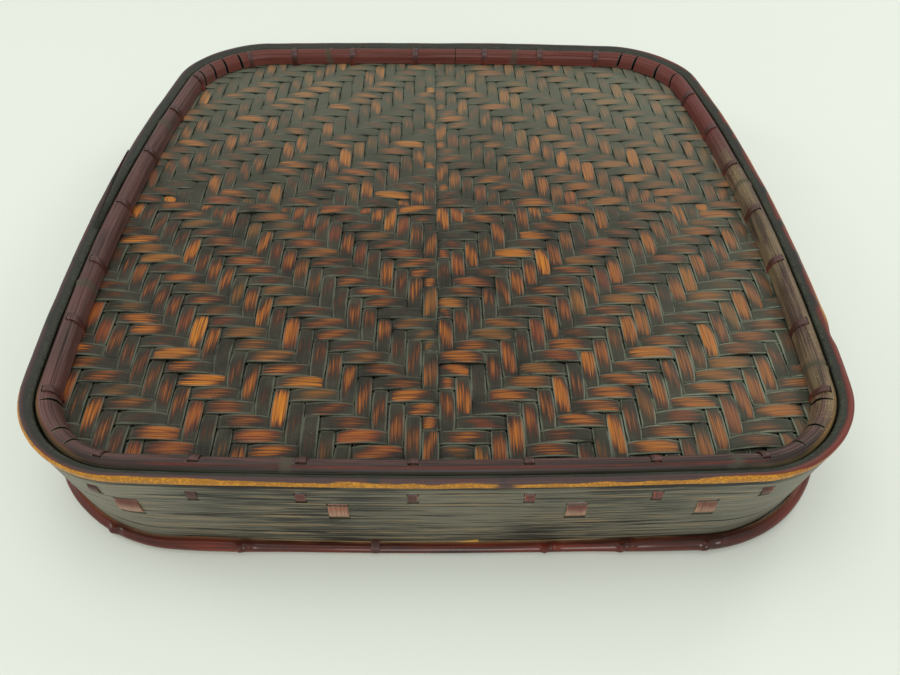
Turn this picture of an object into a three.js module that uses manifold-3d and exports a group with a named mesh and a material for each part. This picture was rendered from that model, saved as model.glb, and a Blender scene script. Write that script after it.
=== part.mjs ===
// Square rice basket of bent bamboo, standing on its open mouth with its woven base uppermost.
// Millimetres, +Z up. The origin is the middle of the mouth, on the surface it stands on.
// +X is the right-hand side, -Y the front.
import * as THREE from 'three';
import { ParametricGeometry } from 'three/addons/geometries/ParametricGeometry.js';
import { mergeVertices } from 'three/addons/utils/BufferGeometryUtils.js';
import Module from 'manifold-3d';

const wasm = await Module();
wasm.setup();

// Whole basket
const overallHeight = 53;
const bandWidth = 386;
const bandDepth = 399;
const sideBow = 15.5;
const endBow = 5.5;
const cornerRadius = 50;
const mouthCornerRadius = 64;
const mouthInset = 2.5;
const seatGap = 0.3;

// Side band, a thin board bent round the whole basket
const bandThickness = 3;
const bandScarfLength = 34;

// Rim strip that caps the band at the base
const rimStripWidth = 5.2;
const rimStripHeight = 4.5;
const rimStripFaceHeight = 3.4;
const rimStripShoulder = 0.7;
const rimStripCrestWidth = 1.6;
const rimStripInnerHeight = 2.1;
const rimScarfLength = 22;

// Clamp ring, a half culm laid on the edge of the woven base
const ringWidth = 8.7;
const ringHeight = 9.2;
const ringCrestDrop = 1.1;
const ringFootHeight = 5.0;
const ringShoulderHeight = 7.9;
const ringShoulderInset = 1.3;
const ringCrestInset = 3.4;
const ringFootTilt = 0.3;
const kerfWidth = 2.3;
const kerfDepth = 5.4;
const jointGap = 0.35;
const culmNodeLength = 4.2;
const culmNodeRise = 0.28;

// Woven base, a twill of three over and three under, mirrored about a middle row and a middle column
const matThickness = 3;
const matSag = 3.6;
const columnPitch = 7.6;
const rowPitch = 8;
const weaveMiddleX = -1.8;
const weaveMiddleY = 6.3;
const twillGrooveDepth = 1.1;
const matSeatOverlap = 2;
const matFacetLength = 100;

// Hoop inside the band, under the edge of the woven base
const hoopThickness = 4;
const hoopHeight = 13.4;
const hoopScarfLength = 30;

// Ties that lash the clamp ring down
const tieWidth = 4.1;
const tieThickness = 0.8;
const tieSlack = 0.25;
const slotClearance = 0.25;
const tieLegDrop = 9.7;
const tieStitchHeight = 7.2;
const tieEntryInset = 8.4;

// Laces that bind the hoop to the band
const laceWidth = 8.9;
const laceThickness = 1;
const laceTieGap = 0.6;
const laceStitchHeight = 12.6;

// Rod outside the mouth and strip inside it, tied through the band
const rodRadius = 2.3;
const rodFloorGap = 1.1;
const rodBandGap = 0.45;
const rodNodeRise = 0.35;
const rodNodeTaper = 0.2;
const rodNodeLength = 3.4;
const rodLift = 2.6;
const rodJointLength = 26;
const mouthStripThickness = 2.8;
const mouthStripHeight = 5;
const mouthTieWidth = 4.2;
const mouthTieFloorGap = 0.1;

// Cutting tools run past what they cut by this much
const overrun = 2;

// Places along a side, as shares of the half width or half depth, counted anticlockwise seen from above
const sideNames = ['right', 'back', 'left', 'front'];
const ringTieShares = {
  right: [-0.767, -0.536, -0.291, -0.06, 0.18, 0.396, 0.627],
  back: [-0.615, -0.394, -0.168, 0.096, 0.342, 0.568, 0.772],
  left: [-0.737, -0.499, -0.236, 0.037, 0.302, 0.525, 0.765],
  front: [-0.711, -0.497, -0.28, -0.05, 0.192, 0.456, 0.689],
};
const laceShares = {
  right: [-0.62, -0.17, 0.29, 0.53],
  back: [-0.52, -0.28, 0.22, 0.64],
  left: [-0.585, -0.12, 0.16, 0.58],
  front: [-0.655, -0.217, 0.296, 0.565],
};
const mouthTieShares = { right: 0.12, back: -0.17, left: 0.12, front: -0.144 };
const rodNodeShares = {
  right: [0.4],
  back: [0.45],
  left: [-0.4],
  front: [-0.69, -0.44, 0.211, 0.407, 0.571],
};
const ringNodeShares = {
  right: [0.07, -0.69],
  back: [-0.31, 0.44],
  left: [0.39, -0.42],
  front: [-0.331, 0.6],
};
// Kerfs in each corner of the clamp ring, as shares of the corner's turn
const kerfShares = [
  [0.16, 0.4, 0.66, 0.83],
  [0.28, 0.47, 0.61, 0.845],
  [0.15, 0.46, 0.61],
  [0.36, 0.58, 0.86],
];
const rimScarfShare = 0.19;
const bandScarfShare = 0.31;
const hoopScarfShare = -0.42;
const ringJointShare = -0.063;
const rodJointShare = -0.44;
const mouthStripJointShare = 0.4;

// Facets
const sideSteps = 8;
const cornerSteps = 7;
const stationsPerSide = sideSteps + cornerSteps;
const stationCount = sideNames.length * stationsPerSide;
const rodSides = 8;
const twillFloatStrips = 3;

const { lerp, degToRad } = THREE.MathUtils;

// Outline of the band's outer face at the base, in stations that run anticlockwise from the right side
function baseOutlinePoint(station) {
  const halfWidth = bandWidth / 2 - sideBow;
  const halfDepth = bandDepth / 2 - endBow;
  const index = THREE.MathUtils.euclideanModulo(station, stationCount);
  const side = Math.floor(index / stationsPerSide);
  const step = index - side * stationsPerSide;
  const facesSideways = side % 2 === 0;
  const outward = facesSideways ? halfWidth : halfDepth;
  const along = (facesSideways ? halfDepth : halfWidth) - cornerRadius;
  const straightShare = Math.min(step / sideSteps, 1);
  const turn = degToRad((90 * Math.max(step - sideSteps, 0)) / cornerSteps);
  const run = lerp(-along, along, straightShare) + cornerRadius * Math.sin(turn);
  const reach = outward - cornerRadius + cornerRadius * Math.cos(turn);
  const heading = degToRad(90 * side);
  const x = reach * Math.cos(heading) - run * Math.sin(heading);
  const y = reach * Math.sin(heading) + run * Math.cos(heading);
  const widen = 1 + (sideBow / halfWidth) * (1 - (y / halfDepth) ** 2);
  const deepen = 1 + (endBow / halfDepth) * (1 - (x / halfWidth) ** 2);
  return new THREE.Vector2(x * widen, y * deepen);
}

// How far a facet of the band leans in from the base to the mouth; most in the middle of a corner
function facetLean(facet) {
  const step = THREE.MathUtils.euclideanModulo(facet, stationsPerSide) - sideSteps;
  const turn = degToRad((90 * Math.max(step + 0.5, 0)) / cornerSteps);
  const cornerGrowth = mouthCornerRadius - cornerRadius;
  return mouthInset + cornerGrowth * (Math.cos(turn) + Math.sin(turn) - 1);
}

// Outline at a height: every facet moves inward by its lean, so it stays flat from base to mouth
function outlinePoint(station, height) {
  const here = baseOutlinePoint(station);
  const before = inwardNormal(baseOutlinePoint(station - 1), here);
  const after = inwardNormal(here, baseOutlinePoint(station + 1));
  const fall = 1 - height / overallHeight;
  const leanBefore = facetLean(station - 1) * fall;
  const leanAfter = facetLean(station) * fall;
  const bend = before.cross(after);
  here.x += (leanBefore * after.y - leanAfter * before.y) / bend;
  here.y += (leanAfter * before.x - leanBefore * after.x) / bend;
  return here;
}

function inwardNormal(from, to) {
  const direction = to.clone().sub(from).normalize();
  return new THREE.Vector2(-direction.y, direction.x);
}

// Point of a station moved inward by an inset, mitred so that the facets stay parallel
function insetPoint(station, inset, height) {
  const here = outlinePoint(station, height);
  const before = inwardNormal(outlinePoint(station - 1, height), here);
  const after = inwardNormal(here, outlinePoint(station + 1, height));
  const mitre = before.clone().add(after).divideScalar(1 + before.dot(after));
  return here.addScaledVector(mitre, inset);
}

// Closed ring whose section, a list of [inset, height] corners, may change from station to station
function sweepAround(sectionAt) {
  const corners = sectionAt(0).length;
  const place = (aroundShare, acrossShare, target) => {
    const station = Math.round(aroundShare * stationCount) % stationCount;
    const corner = Math.round((1 - acrossShare) * corners) % corners;
    const [inset, height] = sectionAt(station)[corner];
    const point = insetPoint(station, inset, height);
    target.set(point.x, point.y, height);
  };
  return new ParametricGeometry(place, stationCount, corners);
}

function toSolid(geometry, matrix = new THREE.Matrix4()) {
  const bare = geometry.clone().applyMatrix4(matrix);
  bare.deleteAttribute('normal');
  bare.deleteAttribute('uv');
  const merged = mergeVertices(bare);
  const mesh = new wasm.Mesh({
    numProp: 3,
    vertProperties: new Float32Array(merged.attributes.position.array),
    triVerts: new Uint32Array(merged.index.array),
  });
  return new wasm.Manifold(mesh);
}

function toGeometry(solid) {
  const { vertProperties, triVerts } = solid.getMesh();
  const shared = new THREE.BufferGeometry();
  shared.setAttribute('position', new THREE.BufferAttribute(vertProperties, 3));
  shared.setIndex(new THREE.BufferAttribute(triVerts, 1));
  const faceted = shared.toNonIndexed();
  faceted.computeVertexNormals();
  return faceted;
}

function cut(solid, tools) {
  return tools.reduce((left, tool) => left.subtract(tool), solid);
}

function join(solid, extras) {
  return extras.reduce((whole, extra) => whole.add(extra), solid);
}

// Point on the flat facet between two stations
function facetPoint(station, height) {
  const first = Math.floor(station);
  return outlinePoint(first, height).lerp(outlinePoint(first + 1, height), station - first);
}

// Station at which a side reaches a share of its half length, at a height
function stationAt(sideName, share, height) {
  const side = sideNames.indexOf(sideName);
  const heading = degToRad(90 * side);
  const halfLength = (side % 2 === 0 ? bandDepth : bandWidth) / 2;
  const wanted = share * halfLength;
  let low = side * stationsPerSide - cornerSteps / 2;
  let high = side * stationsPerSide + sideSteps + cornerSteps / 2;
  const bisections = 40;
  for (let i = 0; i < bisections; i += 1) {
    const middle = (low + high) / 2;
    const point = facetPoint(middle, height);
    const run = point.y * Math.cos(heading) - point.x * Math.sin(heading);
    if (run < wanted) low = middle;
    else high = middle;
  }
  return low;
}

// Upright frame on a facet: local x runs inward from the band's face, y up, z along the band.
// What stands in it is moved along until its width lies on this facet at both heights
function frameAt(station, width, lowHeight, highHeight) {
  const first = Math.floor(station);
  const middleHeight = (lowHeight + highHeight) / 2;
  const inward = inwardNormal(outlinePoint(first, middleHeight), outlinePoint(first + 1, middleHeight));
  const along = new THREE.Vector2(inward.y, -inward.x);
  const origin = facetPoint(station, middleHeight);
  const endsAlong = (corner) =>
    [lowHeight, highHeight].map((height) => outlinePoint(corner, height).sub(origin).dot(along));
  const least = Math.max(...endsAlong(first)) + width / 2;
  const most = Math.min(...endsAlong(first + 1)) - width / 2;
  const shift = least > most ? (least + most) / 2 : THREE.MathUtils.clamp(0, least, most);
  origin.addScaledVector(along, shift);
  const xAxis = new THREE.Vector3(inward.x, inward.y, 0);
  const yAxis = new THREE.Vector3(0, 0, 1);
  const zAxis = new THREE.Vector3(along.x, along.y, 0);
  const matrix = new THREE.Matrix4().makeBasis(xAxis, yAxis, zAxis);
  matrix.setPosition(origin.x, origin.y, 0);
  // How far the leaning face lies inward of the frame's origin at a height
  const leanAt = (height) => (facetLean(first) * (middleHeight - height)) / overallHeight;
  return { matrix, leanAt };
}

// Block in a frame, from one inset to another and one height to another
function blockIn(frame, insetFrom, insetTo, heightFrom, heightTo, width) {
  const middleHeight = (heightFrom + heightTo) / 2;
  const block = new THREE.BoxGeometry(insetTo - insetFrom, heightTo - heightFrom, width);
  block.translate((insetFrom + insetTo) / 2 + frame.leanAt(middleHeight), middleHeight, 0);
  return toSolid(block, frame.matrix);
}

// Slot that a flat strip passes through level, with clearance all round
function stripSlot(frame, insetFrom, insetTo, height, thickness, width) {
  const half = thickness / 2 + slotClearance;
  const slotWidth = width + 2 * slotClearance;
  return blockIn(frame, insetFrom, insetTo, height - half, height + half, slotWidth);
}

// Slot for a strip's leg between two points of its route, with clearance all round
function legSlot(frame, start, end, thickness, width) {
  const from = new THREE.Vector2(start[0] + frame.leanAt(start[1]), start[1]);
  const to = new THREE.Vector2(end[0] + frame.leanAt(end[1]), end[1]);
  const leg = to.clone().sub(from);
  const slot = new THREE.BoxGeometry(
    thickness + 2 * slotClearance,
    leg.length() + 2 * overrun,
    width + 2 * slotClearance,
  );
  slot.rotateZ(-Math.atan2(leg.x, leg.y));
  slot.translate((from.x + to.x) / 2, (from.y + to.y) / 2, 0);
  return toSolid(slot, frame.matrix);
}

// Outline moved to its left by a distance, mitred at each corner
function offsetLoop(points, distance) {
  return points.map((point, i) => {
    const last = points[(i + points.length - 1) % points.length];
    const next = points[(i + 1) % points.length];
    const before = inwardNormal(last, point);
    const after = inwardNormal(point, next);
    const mitre = before.clone().add(after).divideScalar(1 + before.dot(after));
    return point.clone().addScaledVector(mitre, distance);
  });
}

// Flat strip bent into a closed loop along a list of [inset, height] points
function stripLoop(frame, route, thickness, width) {
  const middle = route.map(([inset, height]) => new THREE.Vector2(inset + frame.leanAt(height), height));
  if (THREE.ShapeUtils.isClockWise(middle)) middle.reverse();
  const half = thickness / 2;
  const outer = new THREE.Shape(offsetLoop(middle, -half));
  outer.holes.push(new THREE.Path(offsetLoop(middle, half)));
  const geometry = new THREE.ExtrudeGeometry(outer, { depth: width, bevelEnabled: false });
  geometry.translate(0, 0, -width / 2);
  return geometry;
}

// Slanted cut through a strip, so that its two ends overlap in a scarf
function scarfCut(sideName, share, insetFrom, insetTo, heightFrom, heightTo, length) {
  const middleHeight = (heightFrom + heightTo) / 2;
  const frame = frameAt(stationAt(sideName, share, middleHeight), 0, middleHeight, middleHeight);
  const depth = insetTo - insetFrom;
  const slant = Math.atan2(length, depth);
  const span = Math.hypot(length, depth) + 2 * overrun;
  const blade = new THREE.BoxGeometry(span, heightTo - heightFrom, jointGap);
  blade.rotateY(slant);
  blade.translate((insetFrom + insetTo) / 2 + frame.leanAt(middleHeight), middleHeight, 0);
  return toSolid(blade, frame.matrix);
}

// Heights worked out from the top downward
const rimStripFoot = overallHeight - rimStripHeight;
const bandTop = rimStripFoot - seatGap;
const ringCrest = overallHeight - ringCrestDrop;
const ringFoot = ringCrest - ringHeight;
const matEdgeTop = ringFoot - seatGap;
const matEdgeUnderside = matEdgeTop - matThickness;
const hoopTop = matEdgeUnderside - seatGap;
const hoopBottom = hoopTop - hoopHeight;
const tieUpperLeg = overallHeight - tieLegDrop;
const tieLowerLeg = tieUpperLeg - tieStitchHeight + tieThickness;
const laceUpperLeg = tieLowerLeg - tieThickness / 2 - laceThickness / 2 - laceTieGap;
const laceLowerLeg = laceUpperLeg - laceStitchHeight + laceThickness;

// Insets worked out from the band's face inward
const bandInner = bandThickness;
const hoopOuter = bandInner + seatGap;
const hoopInner = hoopOuter + hoopThickness;
const ringOuter = rimStripWidth + seatGap;
const ringInner = ringOuter + ringWidth;

// Mouth
const rodAxisInset = -(rodRadius + rodBandGap);
const rodAxisHeight = rodFloorGap + rodRadius;
const mouthTieOffset = tieSlack + tieThickness / 2;
const mouthTieLowerLeg = mouthTieFloorGap + tieThickness / 2;
const mouthStripBottom = mouthTieLowerLeg + mouthTieOffset;
const mouthStripTop = mouthStripBottom + mouthStripHeight;
const mouthStripInner = bandInner + seatGap + mouthStripThickness;
const mouthTieUpperLeg = mouthStripTop + mouthTieOffset;

// Names and frames of the ties and laces
function framesOf(prefix, sharesBySide, width, lowHeight, highHeight) {
  const slotWidth = width + 2 * slotClearance;
  const middleHeight = (lowHeight + highHeight) / 2;
  return sideNames.flatMap((sideName) =>
    [sharesBySide[sideName]].flat().map((share, i) => ({
      name: prefix + '_' + sideName + '_' + (i + 1),
      frame: frameAt(stationAt(sideName, share, middleHeight), slotWidth, lowHeight, highHeight),
    })),
  );
}
const ringTies = framesOf('ring_tie', ringTieShares, tieWidth, tieLowerLeg, ringCrest);
const laces = framesOf('hoop_lace', laceShares, laceWidth, laceLowerLeg, laceUpperLeg);
const mouthTies = framesOf('mouth_tie', mouthTieShares, mouthTieWidth, 0, mouthTieUpperLeg);

// Route of a ring tie: up the band's face, in above the woven base, out of the ring's crest, over its
// inner half, down through the base, and back out through hoop and band
const tieStand = tieSlack + tieThickness / 2;
const ringTieEntry = [bandInner + tieStand, tieUpperLeg];
const ringTieExit = [tieEntryInset, ringCrest + tieStand];
const ringTieAboveMat = [ringInner + tieStand, ringFoot + ringFootHeight];
const ringTieBelowMat = [ringInner + tieStand, matEdgeUnderside - tieStand];
const ringTieRoute = [
  [-tieStand, tieLowerLeg],
  [-tieStand, tieUpperLeg],
  ringTieEntry,
  ringTieExit,
  [ringInner - ringCrestInset + tieStand / 2, ringCrest + tieStand],
  [ringInner - ringShoulderInset + tieStand, ringFoot + ringShoulderHeight + tieStand / 2],
  ringTieAboveMat,
  ringTieBelowMat,
  [hoopInner + tieStand, tieLowerLeg],
];

const laceStand = tieSlack + laceThickness / 2;
const laceRoute = [
  [-laceStand, laceLowerLeg],
  [-laceStand, laceUpperLeg],
  [hoopInner + laceStand, laceUpperLeg],
  [hoopInner + laceStand, laceLowerLeg],
];

const rodReach = rodRadius + mouthTieOffset;
const diagonalReach = rodReach * Math.SQRT1_2;
const mouthTieRoute = [
  [-mouthTieOffset, mouthTieUpperLeg],
  [mouthStripInner + mouthTieOffset, mouthTieUpperLeg],
  [mouthStripInner + mouthTieOffset, mouthTieLowerLeg],
  [rodAxisInset, mouthTieLowerLeg],
  [rodAxisInset - diagonalReach, rodAxisHeight - diagonalReach],
  [rodAxisInset - rodReach, rodAxisHeight],
  [rodAxisInset - diagonalReach, rodAxisHeight + diagonalReach],
  [rodAxisInset, rodAxisHeight + rodReach],
];

function tieSlots(insetFrom, insetTo, height) {
  return ringTies.map(({ frame }) => stripSlot(frame, insetFrom, insetTo, height, tieThickness, tieWidth));
}

function laceSlots(insetFrom, insetTo, height) {
  return laces.map(({ frame }) => stripSlot(frame, insetFrom, insetTo, height, laceThickness, laceWidth));
}

function buildSideBand() {
  const section = [
    [0, 0],
    [bandInner, 0],
    [bandInner, bandTop],
    [0, bandTop],
  ];
  const board = toSolid(sweepAround(() => section));
  const from = -overrun;
  const to = bandInner + seatGap / 2;
  const mouthSlots = mouthTies.flatMap(({ frame }) => [
    stripSlot(frame, from, to, mouthTieUpperLeg, tieThickness, mouthTieWidth),
    blockIn(frame, from, to, -overrun, mouthStripBottom, mouthTieWidth + 2 * slotClearance),
  ]);
  const scarf = scarfCut('left', bandScarfShare, 0, bandInner, -overrun, overallHeight, bandScarfLength);
  return cut(board, [
    ...tieSlots(from, to, tieUpperLeg),
    ...tieSlots(from, to, tieLowerLeg),
    ...laceSlots(from, to, laceUpperLeg),
    ...laceSlots(from, to, laceLowerLeg),
    ...mouthSlots,
    scarf,
  ]);
}

function buildRimStrip() {
  const faceTop = rimStripFoot + rimStripFaceHeight;
  const section = [
    [0, rimStripFoot],
    [rimStripWidth, rimStripFoot],
    [rimStripWidth, rimStripFoot + rimStripInnerHeight],
    [rimStripShoulder + rimStripCrestWidth, overallHeight],
    [rimStripShoulder, overallHeight],
    [0, faceTop],
  ];
  const strip = toSolid(sweepAround(() => section));
  const [from, to] = [rimStripFoot - overrun, overallHeight + overrun];
  return cut(strip, [scarfCut('left', rimScarfShare, 0, rimStripWidth, from, to, rimScarfLength)]);
}

// Section of the clamp ring, swollen outward at a culm node
function ringSection(rise) {
  return [
    [ringOuter, ringFoot],
    [ringInner, ringFoot],
    [ringInner - ringFootTilt + rise, ringFoot + ringFootHeight],
    [ringInner - ringShoulderInset + rise, ringFoot + ringShoulderHeight + rise],
    [ringInner - ringCrestInset, ringCrest + rise],
    [ringOuter + ringCrestInset, ringCrest + rise],
    [ringOuter + ringShoulderInset, ringFoot + ringShoulderHeight],
    [ringOuter, ringFoot + ringFootHeight],
  ];
}

// Collar of a culm node: a short length of the ring's section, a little larger
function ringNode(sideName, share) {
  const frame = frameAt(stationAt(sideName, share, ringCrest), culmNodeLength, ringFoot, ringCrest);
  const corners = ringSection(culmNodeRise);
  const shape = new THREE.Shape(
    corners.map(([inset, height]) => new THREE.Vector2(inset + frame.leanAt(height), height)),
  );
  const collar = new THREE.ExtrudeGeometry(shape, { depth: culmNodeLength, bevelEnabled: false });
  collar.translate(0, 0, -culmNodeLength / 2);
  return toSolid(collar, frame.matrix);
}

// Wedge sawn into the ring from its inner side, so that it could be bent round the corner
function ringKerf(corner, share) {
  const station = corner * stationsPerSide + sideSteps + cornerSteps * share;
  const frame = frameAt(station, kerfWidth, ringCrest, ringCrest);
  const mouth = ringInner + overrun;
  const tip = ringInner - kerfDepth;
  const halfMouth = (kerfWidth * (mouth - tip)) / kerfDepth / 2;
  const wedge = new THREE.Shape([
    new THREE.Vector2(tip, 0),
    new THREE.Vector2(mouth, -halfMouth),
    new THREE.Vector2(mouth, halfMouth),
  ]);
  const height = ringHeight + 2 * overrun;
  const blade = new THREE.ExtrudeGeometry(wedge, { depth: height, bevelEnabled: false });
  blade.rotateX(-Math.PI / 2);
  blade.translate(0, ringFoot - overrun, 0);
  return toSolid(blade, frame.matrix);
}

function buildClampRing() {
  const culm = toSolid(sweepAround(() => ringSection(0)));
  const ringTieSlots = ringTies.map(({ frame }) =>
    legSlot(frame, ringTieEntry, ringTieExit, tieThickness, tieWidth),
  );
  const nodes = sideNames.flatMap((sideName) =>
    ringNodeShares[sideName].map((share) => ringNode(sideName, share)),
  );
  const kerfs = kerfShares.flatMap((shares, corner) => shares.map((share) => ringKerf(corner, share)));
  const joint = scarfCut(
    'back', ringJointShare, ringOuter, ringInner, ringFoot - overrun, ringCrest + overrun, jointGap,
  );
  return cut(join(culm, nodes), [...kerfs, ...ringTieSlots, joint]);
}

// Sag of the woven base, which starts where the clamp ring lets go of it
function matDrop(x, y) {
  const halfWidth = bandWidth / 2 - ringInner;
  const halfDepth = bandDepth / 2 - ringInner;
  const acrossShare = Math.max(1 - (x / halfWidth) ** 2, 0);
  const deepShare = Math.max(1 - (y / halfDepth) ** 2, 0);
  return matSag * acrossShare * deepShare;
}

// Nested diamonds of the twill: a lathe of four sides in counts of strips, grooved where the floats end
function buildTwill() {
  const stripsToCorner = (bandWidth / columnPitch + bandDepth / rowPitch) / 2;
  const twillDiamonds = Math.ceil(stripsToCorner / twillFloatStrips);
  const reach = twillDiamonds * twillFloatStrips;
  const profile = [
    [0, -matThickness],
    [reach, -matThickness],
  ];
  for (let half = 2 * twillDiamonds; half >= 0; half -= 1) {
    profile.push([(half * twillFloatStrips) / 2, half % 2 === 0 ? -twillGrooveDepth : 0]);
  }
  const diamonds = wasm.Manifold.revolve([profile], sideNames.length);
  return diamonds
    .scale([columnPitch, rowPitch, 1])
    .translate([weaveMiddleX, weaveMiddleY, matEdgeTop])
    .refineToLength(matFacetLength)
    .warp((point) => {
      point[2] -= matDrop(point[0], point[1]);
    });
}

function buildWovenBase() {
  const edge = Array.from({ length: stationCount }, (_, station) =>
    insetPoint(station, bandInner + seatGap, matEdgeUnderside).toArray(),
  );
  const depth = matThickness + matSag + 2 * overrun;
  const withinBand = wasm.Manifold.extrude([edge], depth).translate([0, 0, matEdgeTop + overrun - depth]);
  const seatSection = [
    [0, matEdgeUnderside - matSag],
    [ringInner + matSeatOverlap, matEdgeUnderside - matSag],
    [ringInner + matSeatOverlap, matEdgeUnderside],
    [0, matEdgeUnderside],
  ];
  const seat = toSolid(sweepAround(() => seatSection));
  const holes = ringTies.map(({ frame }) =>
    legSlot(frame, ringTieAboveMat, ringTieBelowMat, tieThickness, tieWidth),
  );
  return cut(buildTwill().intersect(withinBand), [seat, ...holes]);
}

function buildInnerHoop() {
  const section = [
    [hoopOuter, hoopBottom],
    [hoopInner, hoopBottom],
    [hoopInner, hoopTop],
    [hoopOuter, hoopTop],
  ];
  const hoop = toSolid(sweepAround(() => section));
  const from = bandInner - overrun;
  const to = hoopInner + overrun;
  const scarf = scarfCut(
    'back', hoopScarfShare, hoopOuter, hoopInner, hoopBottom - overrun, hoopTop + overrun, hoopScarfLength,
  );
  return cut(hoop, [...tieSlots(from, to, tieLowerLeg), ...laceSlots(from, to, laceUpperLeg), scarf]);
}

// How far the rod springs away from the band, round the front right corner
function rodLiftAt(station) {
  const middle = 3 * stationsPerSide + sideSteps + cornerSteps / 2;
  const reach = cornerSteps;
  const away = Math.abs(station - middle) / reach;
  return away < 1 ? (rodLift * (1 + Math.cos(Math.PI * away))) / 2 : 0;
}

function rodSection(station) {
  const axisInset = rodAxisInset - rodLiftAt(station);
  return Array.from({ length: rodSides }, (_, i) => {
    const angle = (2 * Math.PI * i) / rodSides;
    return [axisInset + rodRadius * Math.cos(angle), rodAxisHeight + rodRadius * Math.sin(angle)];
  });
}

// Bead where the thin culm has a node
function rodNode(sideName, share) {
  const station = stationAt(sideName, share, rodAxisHeight);
  const frame = frameAt(station, rodNodeLength, rodAxisHeight, rodAxisHeight);
  const shoulder = rodNodeLength / 2;
  const endRadius = rodRadius - rodNodeTaper;
  const profile = [
    new THREE.Vector2(0, -shoulder),
    new THREE.Vector2(endRadius, -shoulder),
    new THREE.Vector2(rodRadius + rodNodeRise, 0),
    new THREE.Vector2(endRadius, shoulder),
    new THREE.Vector2(0, shoulder),
  ];
  const bead = new THREE.LatheGeometry(profile, rodSides);
  bead.rotateX(Math.PI / 2);
  const lean = frame.leanAt(rodAxisHeight);
  bead.translate(rodAxisInset - rodLiftAt(station) + lean, rodAxisHeight, 0);
  return toSolid(bead, frame.matrix);
}

function buildMouthRod() {
  const rod = toSolid(sweepAround(rodSection));
  const beads = sideNames.flatMap((sideName) =>
    rodNodeShares[sideName].map((share) => rodNode(sideName, share)),
  );
  const from = rodAxisInset - rodRadius;
  const joint = scarfCut('back', rodJointShare, from, 0, 0, 2 * rodAxisHeight, rodJointLength);
  return cut(join(rod, beads), [joint]);
}

function buildMouthStrip() {
  const outer = bandInner + seatGap;
  const section = [
    [outer, mouthStripBottom],
    [mouthStripInner, mouthStripBottom],
    [mouthStripInner, mouthStripTop],
    [outer, mouthStripTop],
  ];
  const strip = toSolid(sweepAround(() => section));
  const joint = scarfCut(
    'right', mouthStripJointShare, outer, mouthStripInner, 0, mouthStripTop + overrun, rodJointLength,
  );
  return cut(strip, [joint]);
}

// Colours as the photograph shows them
const materials = {
  band: new THREE.MeshStandardMaterial({ color: 0x4a4238, roughness: 0.62, metalness: 0 }),
  rimStrip: new THREE.MeshStandardMaterial({ color: 0x4a2c2a, roughness: 0.5, metalness: 0 }),
  ring: new THREE.MeshStandardMaterial({ color: 0x5c3a36, roughness: 0.5, metalness: 0 }),
  weave: new THREE.MeshStandardMaterial({ color: 0x6b4626, roughness: 0.6, metalness: 0 }),
  hoop: new THREE.MeshStandardMaterial({ color: 0x4d3628, roughness: 0.7, metalness: 0 }),
  tie: new THREE.MeshStandardMaterial({ color: 0x6e3a2b, roughness: 0.5, metalness: 0 }),
  lace: new THREE.MeshStandardMaterial({ color: 0x8a5038, roughness: 0.5, metalness: 0 }),
  rod: new THREE.MeshStandardMaterial({ color: 0x3c1c16, roughness: 0.3, metalness: 0 }),
};

function namedMesh(name, geometry, material) {
  const mesh = new THREE.Mesh(geometry, material);
  mesh.name = name;
  return mesh;
}

// Loops stand in the frame of their own place on the band
function loopMeshes(places, route, thickness, width, material) {
  return places.map(({ name, frame }) => {
    const mesh = namedMesh(name, stripLoop(frame, route, thickness, width), material);
    mesh.applyMatrix4(frame.matrix);
    return mesh;
  });
}

function groupOf(meshes) {
  const group = new THREE.Group();
  group.add(...meshes);
  return group;
}

const base = groupOf([
  namedMesh('base_rim_strip', toGeometry(buildRimStrip()), materials.rimStrip),
  namedMesh('base_clamp_ring', toGeometry(buildClampRing()), materials.ring),
  namedMesh('woven_base', toGeometry(buildWovenBase()), materials.weave),
  ...loopMeshes(ringTies, ringTieRoute, tieThickness, tieWidth, materials.tie),
]);

const wall = groupOf([
  namedMesh('side_band', toGeometry(buildSideBand()), materials.band),
  namedMesh('inner_hoop', toGeometry(buildInnerHoop()), materials.hoop),
  ...loopMeshes(laces, laceRoute, laceThickness, laceWidth, materials.lace),
]);

const mouth = groupOf([
  namedMesh('mouth_rod', toGeometry(buildMouthRod()), materials.rod),
  namedMesh('mouth_strip', toGeometry(buildMouthStrip()), materials.hoop),
  ...loopMeshes(mouthTies, mouthTieRoute, tieThickness, mouthTieWidth, materials.tie),
]);

export default groupOf([base, wall, mouth]);
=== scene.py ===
# %% [markdown]
# # A rice basket, standing on its mouth
# The real object is a shallow square basket of split bamboo with round corners. It stands upside down, so
# its woven base is uppermost. The base is held by a clamp ring that is lashed into a thin side band with
# cane ties. The solids of this basket come from a CAD model. They say where everything sits, and Blender
# gives every piece the form and finish that a hand-made, long used basket has.

import math

import bmesh
import bpy
import numpy as np
from mathutils import Matrix, Vector


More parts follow.
